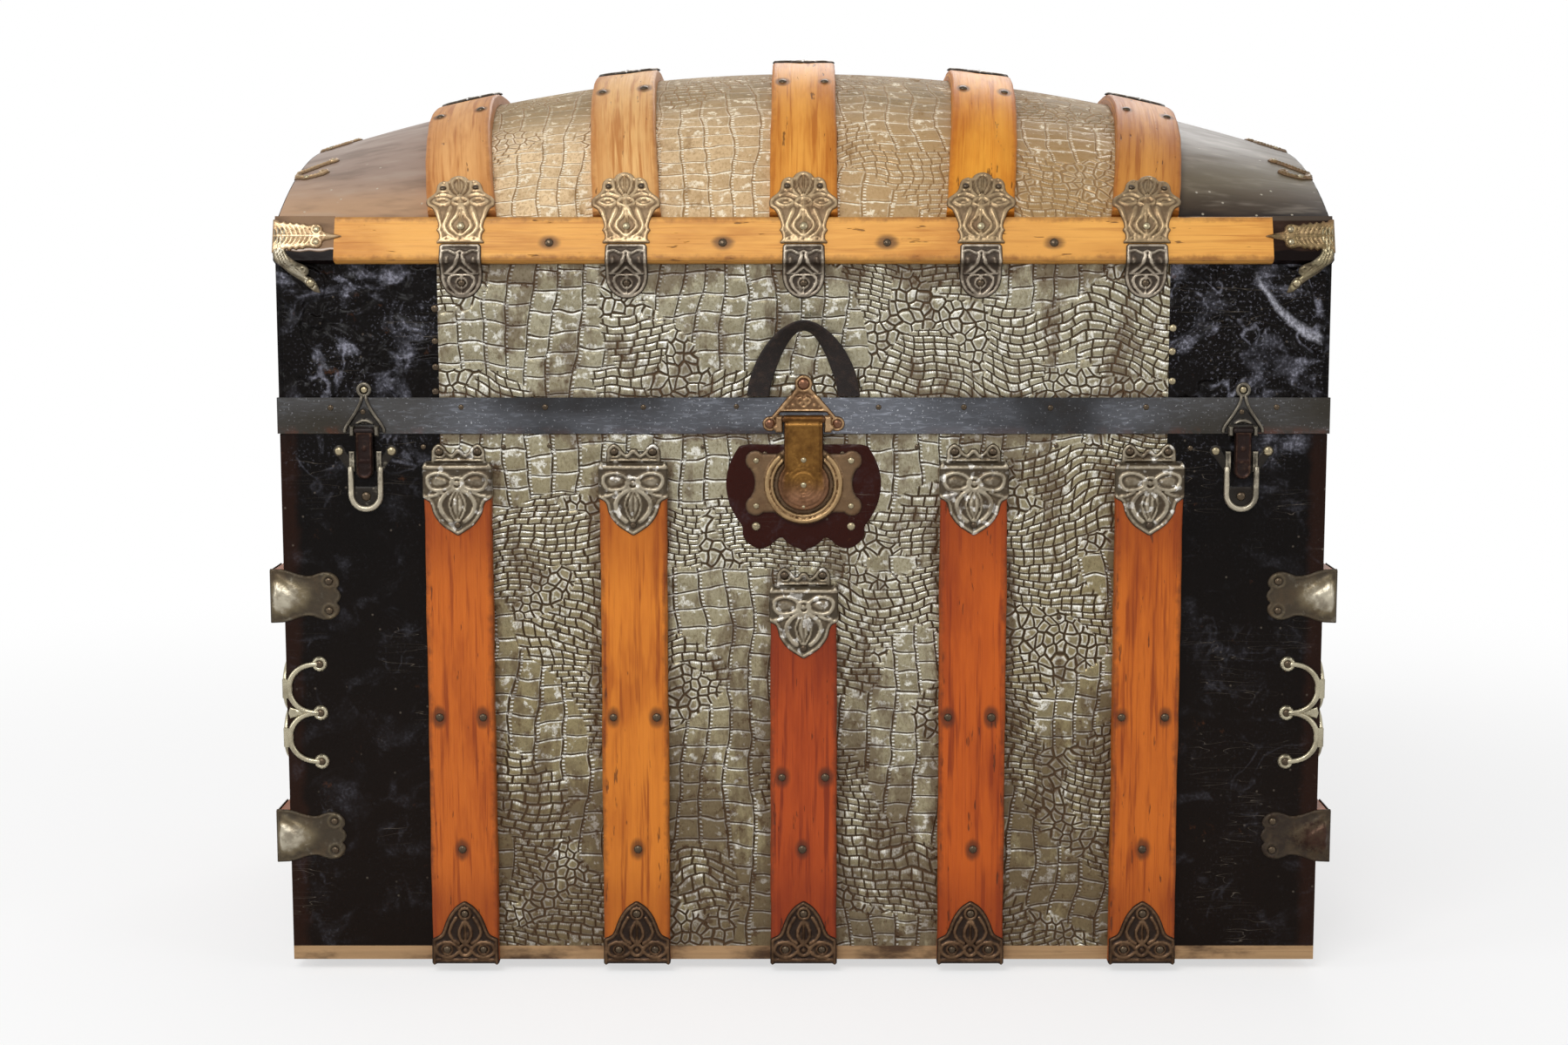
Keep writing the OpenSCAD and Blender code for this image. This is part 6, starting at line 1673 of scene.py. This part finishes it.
def dome_clips():
    """Scrolled clips over the dome's ends: two leafy arms from a foot that turns down over the edge."""
    clips = Stock()
    upper = curve([(0, 0), (5, 2.5), (11, 8), (18, 13.5), (24.5, 17.5)], steps=5)
    lower = curve([(0, 0), (0.5, -8), (4, -14), (12, -17), (20, -14.5), (23.4, -10.5)], steps=5)

    def arm(line, thick):
        return lambda p: from_line(p, line) - thick + 0.5 * np.sin(p[:, 0] * 1.7) * np.cos(p[:, 1] * 1.3)
    scroll = joined(arm(upper, 3.8), arm(lower, 3.6), disc(25.5, 18.5, 5.0), disc(22.4, -9.8, 4.6), disc(10, -17, 4.6),
                    disc(12, 9, 4.6), block(-10.5, -6.0, 2, 5.0))

    def scroll_lines(p, inside):
        h = np.maximum(bead(from_line(p, upper), 1.1, 1.1), bead(from_line(p, lower), 1.1, 1.1))
        for x, y in ((25.5, 18.5), (22.4, -9.8)):
            h = np.maximum(h, bead(away(p, x, y) - 2.8, 1.0, 1.1))
        return (h + 0.35 * np.sin(p[:, 0] * 1.9 + p[:, 1] * 1.1)) * soft(inside, 0, 1.6)

    def clip_lay(t0, way):
        """Lays a clip on the right end at t0, its arms reversed where way is -1."""
        def lay(a, b, up):
            x = half_w - np.maximum(a, 0)
            t = t0 + b * way / 260.0
            p, q = arch_point(x, t), arch_point(x - 1.0, t)
            n = unit(np.cross(p - q, arch_point(x, t + 0.01) - arch_point(x, t - 0.01)))
            over = soft(-a, -1.6, 1.0)[:, None]
            flat = p + n * (up + 0.3)[:, None]
            down = (p + np.array([1.0, 0, 0]) * (up + 0.3)[:, None]
                    - unit(n * (0, 1, 1)) * np.maximum(-a, 0)[:, None])
            return flat * (1 - over) + down * over
        return lay
    for sx in sides:
        for t0 in (-0.62, -0.16, 0.16, 0.62):
            way = 1 if t0 < 0 else -1
            turn = (sx, 1, 1)
            clips.add(*stamp(scroll, scroll_lines, clip_lay(t0, way), (-12, -24, 33, 26), 0.9, 0.9), turn=turn)
            rivets_by(clip_lay(t0, 1), "lid", "bright", [(10, -17 * way), (25.5, 18.5 * way)], 1.0, 2.4, turn)
    clips.make("dome_leaf_clips", "lid", leaf_cast, ["dome_clips"], "tinned_clamp", 50)


end_clamps()
corner_braces()
leaf_castings()
dome_clips()


# ------------------------------------------------------------------ leather

def oval(half, thick):
    """Section of a worn strap with round edges, flat side outwards."""
    a = np.linspace(0, np.pi / 2, 5)
    r = thick / 2
    right = np.stack([half - r + r * np.cos(a), r + r * np.sin(a)], 1)
    top = np.stack([np.linspace(half - r, -half + r, 7)[1:-1], np.full(5, thick)], 1)
    left = np.stack([-half + r - r * np.sin(a), r + r * np.cos(a)], 1)
    return np.concatenate([right, top, left, np.stack([np.linspace(-half + r, half - r, 7)[1:-1], np.zeros(5)], 1)])


def strap_rings(place, across, facing, section):
    return place[:, None] + across * section[None, :, :1] + facing[:, None] * section[None, :, 1:]


def straps():
    u = np.linspace(-1, 1, 81)
    angle = np.radians(90 * u)
    s, c = np.sin(angle), np.maximum(np.cos(angle), 0)
    foot = lid_z + belt_h + 1
    place = np.stack([35 * s * (1 - 0.12 * c ** 2), -half_d - 0.2 - 13 * c ** 1.25, foot + 57 * c ** 1.25], 1)
    turn = np.radians(62 * c ** 2)
    across = np.stack([s * np.cos(turn), -np.sin(turn), c * np.cos(turn)], 1)
    facing = unit(np.cross(np.stack([c, 0 * c, -s], 1), across))
    Stock().add(*skin(strap_rings(place, across[:, None], facing, oval(8.6, 3.0)))).make(
        "lid_lift_strap", "lid", strap_leather, ["lift_strap"], "strap_leather", 60)
    for s in sides:
        rivet("lid", "nail", (s * 31.8, -half_d - 3.2, 466.5), (0, -1, 0), 2.4)

    handles = Stock()
    y = np.linspace(-handle_half + 0.2, handle_half - 0.2, 41)
    x = half_w + cast_t + 7 + 20 * (1 - (y / handle_half) ** 2)
    facing = unit(np.stack([np.ones_like(y), -np.gradient(x, y), 0 * y], 1))
    rings = strap_rings(np.stack([x, y, np.full_like(y, handle_z)], 1), np.array([0, 0, 1.0]), facing, oval(12.6, 4.0))
    for side in sides:
        handles.add(*skin(rings), turn=(side, 1, 1))
    handles.make("end_handle_straps", "case", strap_leather, ["end_handles"], "strap_leather", 60)


straps()


# ------------------------------------------------------------------ small tacks

seam_tacks = ((-1, 284.2, 526), (-1, 284.6, 501), (-1, 284.4, 481), (-1, 284.8, 462), (1, 284.8, 511), (1, 284.6, 493),
              (1, 285, 470))
belt_tacks = ((-366, 449.5), (-265, 450), (-200, 450), (-124, 450), (-52, 450.5), (58, 450), (124, 450), (191, 449.5),
              (265, 450), (366, 450))
case_tacks = ((-233, 419), (-78, 419), (-197, 420), (88, 419), (196, 420), (231, 419), (-295, 419), (300, 418),
              (-192, 275), (200, 285), *((-281.5, z) for z in (380, 330, 240, 150, 60)),
              *((281.5, z) for z in (360, 300, 210, 120, 50)))
for side, x, z in seam_tacks:
    for back in sides:
        rivet("lid", "bright" if side * back < 0 else "nail", (side * x, back * (half_d - 0.1), z), (0, back, 0), 2.9)
for body, tacks, out, radius in (("lid", belt_tacks, belt_t, 2.3), ("case", case_tacks, 0, 2.1)):
    for x, z in tacks:
        rivet(body, "tack", (x, -(half_d + out) + 0.1, z), (0, -1, 0), radius)
        rivet(body, "tack", (-x, half_d + out - 0.1, z), (0, 1, 0), radius)

# ------------------------------------------------------------------ nails and rivets

def round_heads():
    """Tree that sets a domed head on each point, square to the way it faces."""
    tree = bpy.data.node_groups.new("round_heads", "GeometryNodeTree")
    face = tree.interface
    face.new_socket("Points", in_out="INPUT", socket_type="NodeSocketGeometry")
    for name, value in (("Height", 0.45), ("Unevenness", 0.07)):
        face.new_socket(name, in_out="INPUT", socket_type="NodeSocketFloat").default_value = value
    face.new_socket("Metal", in_out="INPUT", socket_type="NodeSocketMaterial")
    face.new_socket("Heads", in_out="OUTPUT", socket_type="NodeSocketGeometry")

    def add(kind, values=(), out=0, **settings):
        return put(tree, kind, values, **settings).outputs[out]

    given = put(tree, "NodeGroupInput").outputs
    head = add("GeometryNodeMeshUVSphere", {"Segments": 14, "Rings": 8, "Radius": 1.0}, "Mesh")
    low = add("ShaderNodeCombineXYZ", {0: 1.0, 1: 1.0, 2: given["Height"]})
    flat = add("GeometryNodeTransform", {"Geometry": head, "Scale": low})
    facing = add("GeometryNodeInputNamedAttribute", {"Name": "facing"}, "Attribute", data_type="FLOAT_VECTOR")
    size = add("GeometryNodeInputNamedAttribute", {"Name": "size"}, "Attribute", data_type="FLOAT")
    turn = add("FunctionNodeAlignRotationToVector", {"Vector": facing}, "Rotation", axis="Z")
    less, more = [add("ShaderNodeMath", {0: 1.0, 1: given["Unevenness"]}, operation=o) for o in ("SUBTRACT", "ADD")]
    # inputs 2 and 3 and output 1 are the ones for single numbers
    chance = add("FunctionNodeRandomValue", {2: less, 3: more, "Seed": 7}, 1, data_type="FLOAT")
    grown = add("ShaderNodeMath", {0: size, 1: chance}, operation="MULTIPLY")
    set_on = add("GeometryNodeInstanceOnPoints", {
        "Points": given["Points"], "Instance": flat, "Rotation": turn, "Scale": grown})
    smooth = add("GeometryNodeSetShadeSmooth", {"Geometry": add("GeometryNodeRealizeInstances", {"Geometry": set_on})})
    metal = add("GeometryNodeSetMaterial", {"Geometry": smooth, "Material": given["Metal"]})
    put(tree, "NodeGroupOutput", {0: metal})
    return tree


def set_rivets(tree, name, body, spots, metal, height, nodes=()):
    spots = np.array(spots, float)
    mesh = bpy.data.meshes.new(name + "_points")
    mesh.from_pydata((spots[:, :3] * MM).tolist(), [], [])
    mesh.attributes.new("facing", "FLOAT_VECTOR", "POINT").data.foreach_set("vector", spots[:, 3:6].ravel())
    mesh.attributes.new("size", "FLOAT", "POINT").data.foreach_set("value", spots[:, 6] * MM)
    holder = bpy.data.objects.new(name + "_points", mesh)
    bpy.context.scene.collection.objects.link(holder)
    modifier = holder.modifiers.new("heads", "NODES")
    modifier.node_group = tree
    inputs = {item.name: item.identifier for item in tree.interface.items_tree if item.in_out == "INPUT"}
    modifier[inputs["Height"]] = height
    modifier[inputs["Metal"]] = metal
    bpy.context.view_layer.update()
    made_mesh = bpy.data.meshes.new_from_object(holder.evaluated_get(bpy.context.evaluated_depsgraph_get()))
    made_mesh.name = name
    bpy.data.objects.remove(holder)
    made = bpy.data.objects.new(name, made_mesh)
    bpy.context.scene.collection.objects.link(made)
    return settle(made, body, nodes)


for side in sides_front_first:
    for i, x0 in enumerate(case_slat_x):
        # the back has no short slat, so its middle one is nailed like the first
        for across, z in slat_nails(i if side == 1 or i != 2 else 0):
            rivet("case", "nail", (x0 + across, -side * (half_d + slat_t - nail_sink), z), (0, -side, 0), nail_r)
for side in sides:
    for z in end_slat_z:
        for y in (-150, -95, 95, 150) if z > 200 else (-150, 0, 150):
            rivet("case", "nail", (side * (half_w + slat_t - nail_sink), y, z), (side, 0, 0), nail_r)
for side in sides_front_first:
    for x in rail_nail_x:
        rivet("lid", "nail", rail_point(x, rail_face_h * 0.6, -nail_sink) * (1, side, 1),
              (0, rail_out[0] * side, rail_out[1]), nail_r)
    for x0 in dome_slat_x:
        t = -side * dome_nail_t
        for s in sides:
            rivet("lid", "nail", on_slat(x0, t, s * nail_spread, slat_t - nail_sink), slat_normal(x0, t), nail_r)

heads = round_heads()
kinds = {"nail": (nail_metal, 0.55), "dark": (nail_metal, 0.6), "bright": (bright_nail, 0.55),
         "tack": (nail_metal, 0.5), "copper": (copper_nail, 0.55)}
stands = {("case", "nail"): ["case_nails"], ("lid", "nail"): ["lid_nails"]}
for (body, kind), spots in sorted(rivets.items()):
    metal, height = kinds[kind]
    set_rivets(heads, "%s_%s_heads" % (body, kind), body, spots, metal, height, stands.get((body, kind), ()))
